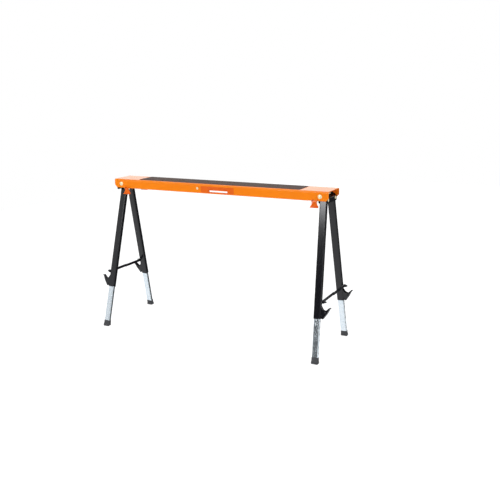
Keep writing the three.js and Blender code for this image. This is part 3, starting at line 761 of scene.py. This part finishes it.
def make_support_arm(at):
    """A strip that hangs from the barrel and turns outwards at its foot. Its half width is
    the neck's plus the shoulder's and the flare's, by smooth steps of the height."""
    path = filleted([(PIN_OUT, ARM_TOP), (PIN_OUT, ARM_LOW), (PIN_OUT + ARM_LIP, ARM_LOW)],
                    [0, ARM_BEND_RADIUS, 0], 8)
    drop = np.linspace(ARM_TOP, path[1, 1], ARM_ROWS)[:-1]
    path = np.vstack([np.column_stack([np.full(len(drop), PIN_OUT), drop]), path[1:]])
    half_widths = ARM_NECK
    for growth, top, fall in (ARM_SHOULDER, ARM_FLARE):
        half_widths = half_widths + growth * smooth(np.clip((top - path[:, 1]) / fall, 0, 1))
    points, faces = turned(BARREL)
    barrel = (points + (0, PIN_OUT, PIN_HEIGHT), faces)
    arm = make_object("support_arm", strip(path, half_widths, ARM_SHEET), barrel, at=at)
    return settle(arm)


for end, x in SUPPORT_X.items():
    for row, face in (("front", -1), ("rear", 1)):
        name = f"{end}_{row}_support"
        at = placement((x, face * BEAM_WIDTH / 2, 0), (face, 0, 0), (0, face, 0), (0, 0, 1))
        at = at @ MILLIMETRES
        finish_piece(make_support_plate(at), "beam_frame", "red_orange_paint",
                     red_orange_paint, f"{name}_plate")
        pin_shape = pin(PIN_REACH, PIN_RADIUS, PIN_HEAD_RADIUS, PIN_HEAD)
        support_pin = make_object("support_pin", pin_shape,
                                  at=at @ Matrix.Translation((0, PIN_OUT, PIN_HEIGHT)))
        finish_piece(settle(support_pin), "beam_frame", "zinc_plate", zinc_plate, f"{name}_pin")
        finish_piece(make_support_arm(at), f"{name}_swing", "red_orange_paint",
                     red_orange_paint, f"{name}_arm")


# ------------------------------------------------------------------ pivot bolts and yokes
# At each end of the beam a zinc-plated button-head bolt runs right across, with a flanged
# lock nut behind. The yoke that hangs on it is two walls welded between two end ears, in
# black powder coat, and carries the two hinge pins of the legs.
SIDE = {"left": -1, "right": 1}
PIVOT_X, PIVOT_HEIGHT = 0.465, 0.6265
LEAN = {"left": radians(3), "right": radians(1.9)}
PIN_OUTBOARD, PIN_DROP = 9, 16
PIN_SIDE = {"left": 19, "right": 38.5}
WALL_NEAR, WALL_FAR = 14.15, 17.15
WALL_TOP, WALL_BOTTOM, WALL_CORNER = -9.5, -28, 6
YOKE_HALF, EAR_SHEET, EAR_BOTTOM, EAR_RADIUS = 53.4, 3, -15, 9
# Bolt and nut as (along, radius), in millimetres from the middle of the beam.
BOLT_TAIL, BOLT_RADIUS, THREAD_LENGTH = 67, 5, 14
BOLT_COLLAR = ((-57.4, 9.8), (-57.2, 10), (-56.3, 10), (-56.3, 5))
BOLT_DOME_BASE, BOLT_DOME_TOP, BOLT_DOME_RADIUS = -57.4, -61.8, 8.9
BOLT_POINT = ((67, 4.4), (67, 0))
NUT_BORE, NUT_START, NUT_STOP, NUT_FLATS = 5.3, 58.4, 64.2, 7.3
NUT_FLANGE = ((56.3, 5.3), (56.3, 9.5), (57, 9.5), (58.6, 8), (58.6, 5.3))
NUT_COLLAR = ((64, 5.3), (64, 6.6), (64.4, 6.9), (64.5, 6.3), (64.5, 5.3))

# Its lighter colour is for scuffs and for the painted highlight along its edges.
black_paint = powder_coat(
    "black_powder_coat", colour=(0.004, 0.004, 0.006), deep=(0.007, 0.007, 0.009),
    worn_and_lit=(0.05, 0.05, 0.055), roughness=0.11, coat=0.0, marks=0.12, edges=0.4)


def pair_frame(end):
    """The frame of one leg pair in millimetres: on the cross bolt, +X outboard and raised
    by the lean of the legs, which hang along -Z."""
    side, lean = SIDE[end], LEAN[end]
    return placement((side * PIVOT_X, 0, PIVOT_HEIGHT), (side * cos(lean), 0, sin(lean)),
                     (0, side, 0), (-side * sin(lean), 0, cos(lean))) @ MILLIMETRES


def bolt_frame(end):
    """The frame of a cross bolt in millimetres: +X to the rear along its axis."""
    return along_y(SIDE[end] * PIVOT_X, PIVOT_HEIGHT) @ MILLIMETRES


def threaded(start, stop, radius, pitch=1.0, depth=0.3):
    """Profile of a screw thread as rings: radius - depth |2 t - 1|, where t runs from 0 to 1
    in each pitch from start to stop."""
    along = np.linspace(start, stop, int(abs(stop - start) / pitch) * 4 + 1)
    ripple = depth * np.abs(((along - start) / pitch) % 1 - 0.5) * 2
    return np.column_stack([along, radius - ripple])


def hex_nut(start, stop, flats, bore, chamfer=0.12):
    """A six-sided nut about X with chamfered corners: its radius is held to the flats."""
    corner = flats / cos(pi / 6)
    cut = chamfer * corner
    rim = [(start, bore), (start, flats), (start + cut, corner), (stop - cut, corner),
           (stop, flats), (stop, bore)]
    return turned(rim, 48, hexagon=flats)


def make_pivot_bolt(end):
    """A domed head on a thin collar, a shank, and a thread that ends in a chamfer."""
    head = dome(BOLT_DOME_BASE, BOLT_DOME_TOP, BOLT_DOME_RADIUS)[::-1]
    thread = threaded(BOLT_TAIL - THREAD_LENGTH, BOLT_TAIL - 0.6, BOLT_RADIUS)
    profile = np.vstack([head, BOLT_COLLAR, thread, BOLT_POINT])
    bolt = make_object(f"{end}_pivot_bolt", turned(profile, 48), at=bolt_frame(end))
    return settle(bolt)


def make_pivot_nut(end):
    """A hexagon between a wide flange and a narrow locking collar."""
    hexagon = hex_nut(NUT_START, NUT_STOP, NUT_FLATS, NUT_BORE)
    nut = make_object(f"{end}_pivot_nut", turned(NUT_FLANGE), hexagon, turned(NUT_COLLAR),
                      at=bolt_frame(end))
    return settle(nut, 30)


def make_yoke(end):
    """A wall inboard and one outboard of the hinge pins, WALL_NEAR to WALL_FAR from them,
    and an ear at each end, whose top is an arc about the bolt."""
    wall = filleted([(-YOKE_HALF, WALL_TOP), (-YOKE_HALF, WALL_BOTTOM), (YOKE_HALF, WALL_BOTTOM),
                     (YOKE_HALF, WALL_TOP)], [0, WALL_CORNER, WALL_CORNER, 0], 6, True)
    walls = [slab(wall, *sorted(PIN_OUTBOARD + side * x for x in (WALL_NEAR, WALL_FAR)), axis=0)
             for side in (-1, 1)]
    turn = np.linspace(pi / 4, pi, 20)
    arc = EAR_RADIUS * np.column_stack([np.cos(turn), np.sin(turn)])
    inboard, outboard = PIN_OUTBOARD - WALL_FAR, PIN_OUTBOARD + WALL_FAR
    ear = np.vstack([[(inboard, EAR_BOTTOM), (outboard, EAR_BOTTOM), (outboard, WALL_TOP)], arc,
                     [(inboard, WALL_TOP)]])
    ears = [slab(ear, y, y + EAR_SHEET) for y in (-YOKE_HALF, YOKE_HALF - EAR_SHEET)]
    return ease(make_object(f"{end}_yoke", *walls, *ears, at=pair_frame(end)), 0.4 * MM)


for end in SIDE:
    finish_piece(make_pivot_bolt(end), "beam_frame", "zinc_plate", zinc_plate,
                 f"{end}_pivot_bolt")
    finish_piece(make_pivot_nut(end), "beam_frame", "zinc_plate", zinc_plate,
                 f"{end}_pivot_nut")
    finish_piece(make_yoke(end), f"{end}_yoke_frame", "black_paint", black_paint,
                 f"{end}_yoke")


# ------------------------------------------------------------------ outer legs
# Four rectangular steel tubes in black powder coat, closed and rounded at the hinge and
# open below. Each has two ears for its latch welded to the outboard face. A leg's pieces
# are drawn in millimetres in its own frame: hinge pin at the origin, foot along -Z, +X
# outboard along the beam.
FOOT_SPREAD = 167
LEG_END = -452
LEG_X, LEG_Y, LEG_WALL, LEG_CORNER = 13.75, 9, 1.5, 2.6
PLUG_BOTTOM, BORE_MIDDLE, BORE_CORNER = -24, -240, 1.4
HINGE_PIN_RADIUS, HINGE_HEAD_RADIUS, HINGE_HEAD, HINGE_GAP = 3.5, 6, 2, 0.3
BORED_RADIUS, BORED_REACH = 3.8, 20
DOME_ANGLES = np.radians([10, 20, 30, 40, 50, 60, 70, 80, 86])
# Places as heights over the tube's lower end and distances out from its face: the latch's
# axle, the brace stud, the slot for the latch's nose, and the outline of the latch's ears.
LATCH_OUT, LATCH_UP = 19, 26
STUD_UP = 66
NOSE_SLOT_HALF, NOSE_SLOT_LOW, NOSE_SLOT_HIGH, NOSE_SLOT_ROUND = 3.2, 3, 12.5, 2
EAR_PLATE = ((0, 12), (17, 18), (24, 24), (22, 31), (8, 37), (0, 50))
EAR_CORNERS, EAR_STARTS, EAR_THICKNESS = (0.1, 4, 4, 4, 6, 0.1), (-7.2, 5.6), 1.6


def splay_of(end):
    """The angle of a leg of that end to the beam's middle plane, and its length from the
    hinge pin to the floor: the pin stands h high, and the foot FOOT_SPREAD out."""
    lean = LEAN[end]
    height = PIVOT_HEIGHT / MM - PIN_DROP * cos(lean) + PIN_OUTBOARD * sin(lean)
    splay = np.arctan((FOOT_SPREAD - PIN_SIDE[end]) * cos(lean) / height)
    return splay, height / (cos(splay) * cos(lean))


def hinge_frame(end, local):
    """The hinge pin of the leg on side local (-1 or 1) of its pair's own Y."""
    return pair_frame(end) @ Matrix.Translation((PIN_OUTBOARD, local * PIN_SIDE[end], -PIN_DROP))


def leg_frame(end, local):
    """The frame of that leg: the hinge pin's, turned by the splay."""
    return hinge_frame(end, local) @ Matrix.Rotation(local * splay_of(end)[0], 4, "X")


LEGS = [(end, local, "front" if local == -SIDE[end] else "rear")
        for end in SIDE for local in (-1, 1)]


def box_loop(x, y, radius, height, along=5):
    """A level rounded rectangle of half sizes x and y at one height, as 3-D points."""
    loop = rounded_loop(-x, x, -y, y, radius, along)
    return np.column_stack([loop, np.broadcast_to(height, len(loop))])


def cut_away(piece, *cutters):
    """Cuts closed surfaces, given in the same frame as the piece was, out of the piece."""
    for i, cutter in enumerate(cutters):
        cut = piece.modifiers.new(f"cut_{i}", "BOOLEAN")
        cut.operation, cut.solver, cut.object = "DIFFERENCE", "EXACT", cutter
    graph = bpy.context.evaluated_depsgraph_get()
    mesh = bpy.data.meshes.new_from_object(piece.evaluated_get(graph))
    piece.modifiers.clear()
    piece.data = mesh
    for cutter in cutters:
        bpy.data.objects.remove(cutter, do_unlink=True)
    return piece


def drill(low, high, radius, centre=(0, 0, 0), sides=24):
    """A closed cylinder along X that makes a hole when it is cut away."""
    points, faces = turned([(low, 0), (low, radius), (high, radius), (high, 0)], sides)
    return points + centre, faces


def add_surface(piece, extra, at):
    """Adds one more closed surface to a piece that is already cut."""
    addition = make_object("addition", extra, at=at)
    work = bmesh.new()
    work.from_mesh(piece.data)
    work.from_mesh(addition.data)
    work.to_mesh(piece.data)
    work.free()
    bpy.data.objects.remove(addition, do_unlink=True)


def make_outer_leg(end, local, row):
    """Tube loops from the plug down inside, round the cut end and up outside, then drilled
    and slotted, with the latch's ears added. Above the pin the tube closes by a half round:
    at angle a its half width is LEG_Y cos a and its height LEG_Y sin a."""
    inner_x, inner_y = LEG_X - LEG_WALL, LEG_Y - LEG_WALL
    loops = [box_loop(inner_x, inner_y, BORE_CORNER, z)
             for z in (PLUG_BOTTOM, BORE_MIDDLE, LEG_END + 0.3)]
    loops += [box_loop(inner_x + 0.3, inner_y + 0.3, BORE_CORNER + 0.2, LEG_END),
              box_loop(LEG_X - 0.4, LEG_Y - 0.4, LEG_CORNER, LEG_END)]
    loops += [box_loop(LEG_X, LEG_Y, LEG_CORNER, z)
              for z in (LEG_END + 0.4, *np.linspace(LEG_END + 4, 0, 12))]
    for angle in DOME_ANGLES:
        y, z = LEG_Y * cos(angle), LEG_Y * sin(angle)
        round_over = 1.6 * (1 - cos(angle))
        loops.append(box_loop(LEG_X - round_over, y, min(LEG_CORNER, 0.9 * y), z))
    tube = surface(np.stack(loops), close_v=True, caps=(0, -1))
    at = leg_frame(end, local)
    leg = make_object(f"{end}_{row}_outer_leg", tube, at=at)
    low, high = LEG_END + NOSE_SLOT_LOW, LEG_END + NOSE_SLOT_HIGH
    slot = [(-NOSE_SLOT_HALF, low), (NOSE_SLOT_HALF, low), (NOSE_SLOT_HALF, high),
            (-NOSE_SLOT_HALF, high)]
    holes = (drill(-BORED_REACH, BORED_REACH, BORED_RADIUS, sides=32),
             drill(8, BORED_REACH, BORED_RADIUS, (0, 0, LEG_END + STUD_UP)),
             slab(filleted(slot, NOSE_SLOT_ROUND, 4, True), 10.5, 15, axis=0))
    cut_away(leg, *(make_object("cutter", hole, at=at) for hole in holes))
    ear = np.add(filleted(EAR_PLATE, EAR_CORNERS, 6, True), (LEG_X, LEG_END))
    for y in EAR_STARTS:
        add_surface(leg, slab(ear, y, y + EAR_THICKNESS), at)
    return ease(leg, 0.3 * MM, 60)


for end, local, row in LEGS:
    hinge_pin = make_object(
        f"{end}_{row}_hinge_pin",
        pin(WALL_FAR + HINGE_GAP, HINGE_PIN_RADIUS, HINGE_HEAD_RADIUS, HINGE_HEAD),
        at=hinge_frame(end, local))
    finish_piece(settle(hinge_pin), f"{end}_yoke_frame", "zinc_plate", zinc_plate,
                 f"{end}_{row}_hinge_pin")
    finish_piece(make_outer_leg(end, local, row), f"{end}_{row}_leg", "black_paint",
                 black_paint, f"{end}_{row}_outer_leg")


# ------------------------------------------------------------------ inner legs
# Galvanised steel tubes that slide in the outer legs, with a row of round adjustment holes
# through the faces that look along the beam.
INNER_X, INNER_Y, INNER_WALL, INNER_CORNER = 11.85, 7.1, 1.3, 2.2
INNER_TOP, OFF_FLOOR = -190, 5
BORE_ROUND, TUBE_ROWS = 1, 12
HOLE_RADIUS, HOLE_PITCH, FIRST_HOLE, LAST_HOLE = 3.6, 25, 34, 12


def make_inner_leg(end, local, row):
    """A tube made of loops up the outside and down the inside, then drilled."""
    bottom = OFF_FLOOR - splay_of(end)[1]
    bore_x, bore_y = INNER_X - INNER_WALL, INNER_Y - INNER_WALL
    heights = np.linspace(bottom, INNER_TOP, TUBE_ROWS)
    loops = [box_loop(INNER_X, INNER_Y, INNER_CORNER, z) for z in heights]
    loops += [box_loop(bore_x, bore_y, BORE_ROUND, z) for z in heights[::-1]]
    tube = surface(np.stack(loops), close_u=True, close_v=True)
    at = leg_frame(end, local)
    leg = make_object(f"{end}_{row}_inner_leg", tube, at=at)
    holes = [drill(-BORED_REACH, BORED_REACH, HOLE_RADIUS, (0, 0, z))
             for z in np.arange(bottom + FIRST_HOLE, INNER_TOP - LAST_HOLE, HOLE_PITCH)]
    cut_away(leg, make_object("cutter", *holes, at=at))
    return ease(leg, 0.25 * MM)


def galvanised_steel(name, colour, shade, roughness):
    """Hot-dip zinc: large crystals, each with its own tint and gloss, and slow staining."""
    material, tree, shader = new_material(name, roughness, metallic=1.0)
    coordinate = tree.nodes.new("ShaderNodeTexCoord")
    crystals = tree.nodes.new("ShaderNodeTexVoronoi")
    crystals.inputs["Scale"].default_value = 130
    tree.links.new(coordinate.outputs["Object"], crystals.inputs["Vector"])
    tone = tree.nodes.new("ShaderNodeSeparateColor")
    tree.links.new(crystals.outputs["Color"], tone.inputs["Color"])
    spangle, gloss = tone.outputs[0], tone.outputs[1]
    spangle = fit_range(tree, spangle, 0.2, 1.0)
    stain = fit_range(tree, noise(tree, scale=14, detail=5, roughness=0.6), 0.35, 0.7)
    stain = fit_range(tree, stain, 0, 1, 0.5, 1)
    mask = arithmetic(tree, "MULTIPLY", spangle, stain)
    tree.links.new(blend_colours(tree, mask, colour, shade), shader.inputs["Base Color"])
    tree.links.new(fit_range(tree, gloss, 0, 1, roughness - 0.02, roughness + 0.05),
                   shader.inputs["Roughness"])
    grain = noise(tree, scale=800, detail=3, roughness=0.6)
    add_bump(tree, shader, grain, strength=0.05, distance=0.02 * MM)
    return material


galvanised = galvanised_steel(
    "galvanised_zinc", colour=(0.88, 0.95, 1.0), shade=(0.74, 0.83, 0.90), roughness=0.17)
for end, local, row in LEGS:
    finish_piece(make_inner_leg(end, local, row), f"{end}_{row}_extension",
                 "galvanised_steel", galvanised, f"{end}_{row}_inner_leg")


# ------------------------------------------------------------------ feet
# Moulded black rubber shoes pushed over the inner legs, with a thicker rim round the sole,
# which is cut level with the floor.
FOOT_X, FOOT_Y, FOOT_HEIGHT, RIM_WIDTH = 13.75, 10, 24, 1
SOCKET_DEPTH, SOCKET_GAP = 20, 0.3
# Loops of the shoe's side as (inset, corner radius, height): the neck's from the top edge,
# the rim's upper side from the sole, and the rim's foot as (inset, lift off the floor).
NECK_LOOPS = ((0.4, 2.4, 0), (0, 2.6, -0.5))
RIM_CORNER, RIM_LOOPS = 3, ((0.7, 2.8, 9.4), (0.2, 3, 8.8), (0, 3, 8.2))
SOLE_LOOPS = ((0, 4), (0, 0.8), (0.25, 0.25), (0.9, 0))


def make_foot(end, local, row):
    """Loops from the socket's floor up inside, over the top edge and down outside. Under
    the rim each point slides down along the leg until it meets the floor."""
    at = leg_frame(end, local)
    sole = -splay_of(end)[1]
    slope = np.array(at)[2] / at[2][2]

    def floor(x, y):
        return -(slope[0] * x + slope[1] * y + slope[3])

    bore = (INNER_X + SOCKET_GAP, INNER_Y + SOCKET_GAP, INNER_CORNER)
    neck_x, neck_y = FOOT_X - RIM_WIDTH, FOOT_Y - RIM_WIDTH
    top = sole + FOOT_HEIGHT
    loops = [box_loop(*bore, top - SOCKET_DEPTH + SOCKET_GAP), box_loop(*bore, top - 0.3)]
    loops += [box_loop(neck_x - inset, neck_y - inset, radius, top + height)
              for inset, radius, height in NECK_LOOPS]
    loops.append(box_loop(neck_x, neck_y, 2.6, sole + 10.5))
    loops += [box_loop(FOOT_X - inset, FOOT_Y - inset, radius, sole + height)
              for inset, radius, height in RIM_LOOPS]
    for inset, lift in SOLE_LOOPS:
        loop = box_loop(FOOT_X - inset, FOOT_Y - inset, RIM_CORNER - inset, 0)
        loop[:, 2] = floor(loop[:, 0], loop[:, 1]) + lift
        loops.append(loop)
    shoe = surface(np.stack(loops), close_v=True, caps=(0, -1))
    return settle(make_object(f"{end}_{row}_foot", shoe, at=at), 50)


foot_rubber = moulded_rubber(
    "foot_moulding", colour=(0.032, 0.033, 0.037), dusty=(0.08, 0.08, 0.085),
    roughness=0.55, grain=500, strength=0.25)
for end, local, row in LEGS:
    finish_piece(make_foot(end, local, row), f"{end}_{row}_extension", "foot_rubber",
                 foot_rubber, f"{end}_{row}_foot")


# ------------------------------------------------------------------ latches
# On the outboard face of each outer leg: a sprung lever of folded sheet on a headed axle.
# Its upper end is the finger tab, and a nose pin at its lower end locks the inner leg.
LEVER_HALF, LEVER_SHEET = 5.2, 1.2
LEVER_BACK = [(9, 1), (14, 8), (19.5, 15.6), (25.5, 24), (30, 33), (34, 41), (38.5, 46)]
LEVER_EDGE = [(2.4, 3), (3.4, 9), (6, 14.5), (13, 24), (17, 31), (31, 43.5), (36.5, 48)]
LEVER_BACK_RADII, LEVER_EDGE_RADII = (0, 0, 0, 12, 12, 6, 0), (0, 2, 4, 6, 8, 3, 0)
LEVER_STATIONS, FOLD_RADIUS = 40, 0.001
# The nose pin at the lever's lower end, and the pad inside the lever that holds it.
NOSE_UP, NOSE_RADIUS, NOSE_REACH = 8.5, 2.5, 6.5
PAD_LOW, PAD_HIGH, PAD_CORNER, PAD_NEAR, PAD_FAR = 3, 13, 1.5, 2.4, 4
AXLE_REACH, AXLE_RADIUS, AXLE_HEAD_RADIUS, AXLE_HEAD = 7.5, 2, 3.4, 1.4
SPRING_RADIUS, WIRE_RADIUS, SPRING_TURNS, SPRING_LENGTH = 3.2, 0.55, 4, 6.2
SPRING_TAIL, TURN_STEPS = 3.5, 22


def resampled(points, count):
    """A polyline with count points at equal steps along it."""
    points = np.asarray(points, float)
    along = np.r_[0, np.cumsum(np.linalg.norm(np.diff(points, axis=0), axis=1))]
    steps = np.linspace(0, along[-1], count)
    return np.column_stack([np.interp(steps, along, column) for column in points.T])


def make_lever(end, local, row):
    """A channel: at each station one cheek rises from the edge line to the back line, the
    back crosses over, and the other cheek returns. Across it, share is how far towards the
    back line each point lies. A nose pin and its pad are added at the lower end."""
    back = resampled(filleted(LEVER_BACK, LEVER_BACK_RADII), LEVER_STATIONS)
    edge = resampled(filleted(LEVER_EDGE, LEVER_EDGE_RADII), LEVER_STATIONS)
    share = np.array([0, 1 - FOLD_RADIUS, 1, 1, 1 - FOLD_RADIUS, 0])
    fold_start = LEVER_HALF - FOLD_RADIUS
    across = np.array([-LEVER_HALF, -LEVER_HALF, -fold_start, fold_start, LEVER_HALF, LEVER_HALF])
    flat = edge[:, None] + (back - edge)[:, None] * share[None, :, None]
    grid = np.stack([flat[..., 0] + LEG_X, np.broadcast_to(across, flat.shape[:2]),
                     flat[..., 1] + LEG_END], -1)
    at = leg_frame(end, local)
    channel = make_object(f"{end}_{row}_latch_lever", surface(grid), at=at, closed=False)
    lever = thicken(channel, LEVER_SHEET * MM, bevel=0.4 * MM)
    nose = turned([(LEG_X - 1.2, 0), (LEG_X - 1.2, NOSE_RADIUS - 0.5), (LEG_X - 0.7, NOSE_RADIUS),
                   (LEG_X + NOSE_REACH, NOSE_RADIUS), (LEG_X + NOSE_REACH, 0)], 24)
    add_surface(lever, (nose[0] + (0, 0, LEG_END + NOSE_UP), nose[1]), at)
    pad = filleted([(-LEVER_HALF, PAD_LOW), (LEVER_HALF, PAD_LOW), (LEVER_HALF, PAD_HIGH),
                    (-LEVER_HALF, PAD_HIGH)], PAD_CORNER, 4, True) + (0, LEG_END)
    add_surface(lever, slab(pad, LEG_X + PAD_NEAR, LEG_X + PAD_FAR, axis=0), at)
    return settle(lever)


def swept(path, side, radius, sides=8):
    """A round wire along path; side is a direction across it at each point."""
    ahead = np.gradient(path, axis=0)
    ahead /= np.linalg.norm(ahead, axis=1)[:, None]
    up = np.cross(ahead, side)
    turn = np.linspace(0, 2 * pi, sides, endpoint=False)[None, :, None]
    grid = path[:, None] + radius * (np.cos(turn) * side[:, None] + np.sin(turn) * up[:, None])
    return surface(grid, close_v=True, caps=(0, -1))


def axle_frame(end, local):
    """The middle of a latch's axle, which runs along the leg's Y."""
    return leg_frame(end, local) @ Matrix.Translation((LEG_X + LATCH_OUT, 0, LEG_END + LATCH_UP))


def make_spring(end, local, row):
    """Helix about the axle, (r cos a, b a, r sin a), with a straight tail at each end."""
    angle = np.linspace(0, 2 * pi * SPRING_TURNS, TURN_STEPS * SPRING_TURNS + 1)
    side = np.column_stack([np.cos(angle), 0 * angle, np.sin(angle)])
    path = SPRING_RADIUS * side
    path[:, 1] = np.linspace(-0.5, 0.5, len(angle)) * SPRING_LENGTH
    tail = np.array([[0, 0, SPRING_TAIL]])
    path = np.vstack([path[:1] - tail, path, path[-1:] + tail])
    side = np.vstack([side[:1], side, side[-1:]])
    spring = make_object(f"{end}_{row}_latch_spring", swept(path, side, WIRE_RADIUS),
                         at=axle_frame(end, local))
    return settle(spring)


def make_axle(end, local, row):
    """A headed pin through the lever's cheeks and the leg's ears."""
    at = axle_frame(end, local) @ Matrix.Rotation(pi / 2, 4, "Z")
    axle = pin(AXLE_REACH, AXLE_RADIUS, AXLE_HEAD_RADIUS, AXLE_HEAD)
    return settle(make_object(f"{end}_{row}_latch_axle", axle, at=at))


spring_steel = plated_steel(
    "spring_steel_wire", colour=(0.62, 0.63, 0.65), shade=(0.45, 0.46, 0.48),
    roughness=0.28, passivation=0.5)
for end, local, row in LEGS:
    finish_piece(make_axle(end, local, row), f"{end}_{row}_leg", "black_paint", black_paint,
                 f"{end}_{row}_latch_axle")
    finish_piece(make_spring(end, local, row), f"{end}_{row}_leg", "spring_steel",
                 spring_steel, f"{end}_{row}_latch_spring")
    finish_piece(make_lever(end, local, row), f"{end}_{row}_latch", "black_paint",
                 black_paint, f"{end}_{row}_latch_lever")


# ------------------------------------------------------------------ braces
# A flat black bar in two halves joins the legs of each pair across their outboard faces.
# Each half turns on a threaded stud with a spacer and a nut, and a domed rivet joins them.
BAR_DEPTH, BAR_SHEET, BAR_LAP, BAR_NEAR_END = 12, 3, 9, 3
FIRST_FACE, BAR_GAP, FIT_GAP = 1, 0.3, 0.3
STUD_START, STUD_END, STUD_RADIUS, STUD_CHAMFER = -1.2, 19, 3.5, 0.6
SPACER_BORE, SPACER_RADIUS = 3.4, 5.5
STUD_NUT_LENGTH, STUD_NUT_BARE, STUD_NUT_FLATS, STUD_NUT_BORE = 6, 4, 5.63, 3.3
BRACE_RIVET_RADIUS, BRACE_RIVET_HEAD, HEAD_EDGE, HEAD_TOP = 3, 5.5, 0.5, 2.2


def bar_face(local):
    """How far the inboard face of a leg's half bar stands off the leg: the half of leg 1
    lies outside the half of leg -1."""
    return FIRST_FACE + (BAR_SHEET + BAR_GAP if local > 0 else 0)


def bar_reach(end):
    """From a stud to the middle of the pair."""
    return PIN_SIDE[end] - (LEG_END + STUD_UP) * sin(splay_of(end)[0])


def stud_frame(end, local, level=False):
    """On a leg's outboard face at its stud; level takes the leg's splay out again."""
    at = leg_frame(end, local) @ Matrix.Translation((LEG_X, 0, LEG_END + STUD_UP))
    return at @ Matrix.Rotation(-local * splay_of(end)[0], 4, "X") if level else at


def make_half_bar(end, local, row):
    """A flat bar with round ends, from just past its stud to just past the middle."""
    near, radius = bar_face(local), BAR_DEPTH / 2
    far = bar_reach(end) + BAR_LAP - radius
    turn = np.linspace(-pi / 2, pi / 2, 16)
    arc = radius * np.column_stack([np.cos(turn), np.sin(turn)])
    outline = np.vstack([arc + (far, 0), -arc - (BAR_NEAR_END, 0)]) * (-local, 1)
    bar = make_object(f"{end}_{row}_brace_half", slab(outline, near, near + BAR_SHEET, axis=0),
                      at=stud_frame(end, local, level=True))
    return ease(bar, 0.5 * MM)


def make_stud(end, local, row):
    """A threaded stud from the leg's wall through a spacer and the half bar to a nut."""
    near = bar_face(local)
    seat = near + BAR_SHEET + FIT_GAP
    spacer = turned([(FIT_GAP, SPACER_BORE), (FIT_GAP, SPACER_RADIUS),
                     (near - FIT_GAP, SPACER_RADIUS), (near - FIT_GAP, SPACER_BORE)], 32)
    plain = [(STUD_START, 0), (STUD_START, STUD_RADIUS), (seat, STUD_RADIUS)]
    thread = threaded(seat + STUD_NUT_BARE, STUD_END - 0.5, STUD_RADIUS)
    point = [(STUD_END, STUD_RADIUS - STUD_CHAMFER), (STUD_END, 0)]
    nut = hex_nut(seat, seat + STUD_NUT_LENGTH, STUD_NUT_FLATS, STUD_NUT_BORE)
    stud = make_object(f"{end}_{row}_brace_stud", spacer,
                       turned(np.vstack([plain, thread, point]), 32), nut,
                       at=stud_frame(end, local))
    return settle(stud, 30)


def make_brace_rivet(end, local):
    """A shank through the outer half bar's middle end, with a domed head over it."""
    near = bar_face(1)
    seat = near + BAR_SHEET + FIT_GAP
    shank = [(near, 0), (near, BRACE_RIVET_RADIUS), (seat, BRACE_RIVET_RADIUS),
             (seat, BRACE_RIVET_HEAD)]
    head = dome(seat + HEAD_EDGE, seat + HEAD_TOP, BRACE_RIVET_HEAD)
    points, faces = turned(np.vstack([shank, head]), 32)
    rivet = make_object(f"{end}_brace_rivet", (points + (0, -local * bar_reach(end), 0), faces),
                        at=stud_frame(end, local, level=True))
    return settle(rivet)


for end, local, row in LEGS:
    finish_piece(make_half_bar(end, local, row), f"{end}_{row}_brace", "black_paint",
                 black_paint, f"{end}_{row}_brace_half")
    finish_piece(make_stud(end, local, row), f"{end}_{row}_leg", "black_paint", black_paint,
                 f"{end}_{row}_brace_stud")
    if local > 0:
        finish_piece(make_brace_rivet(end, local), f"{end}_{row}_brace", "black_paint",
                     black_paint, f"{end}_brace_rivet")
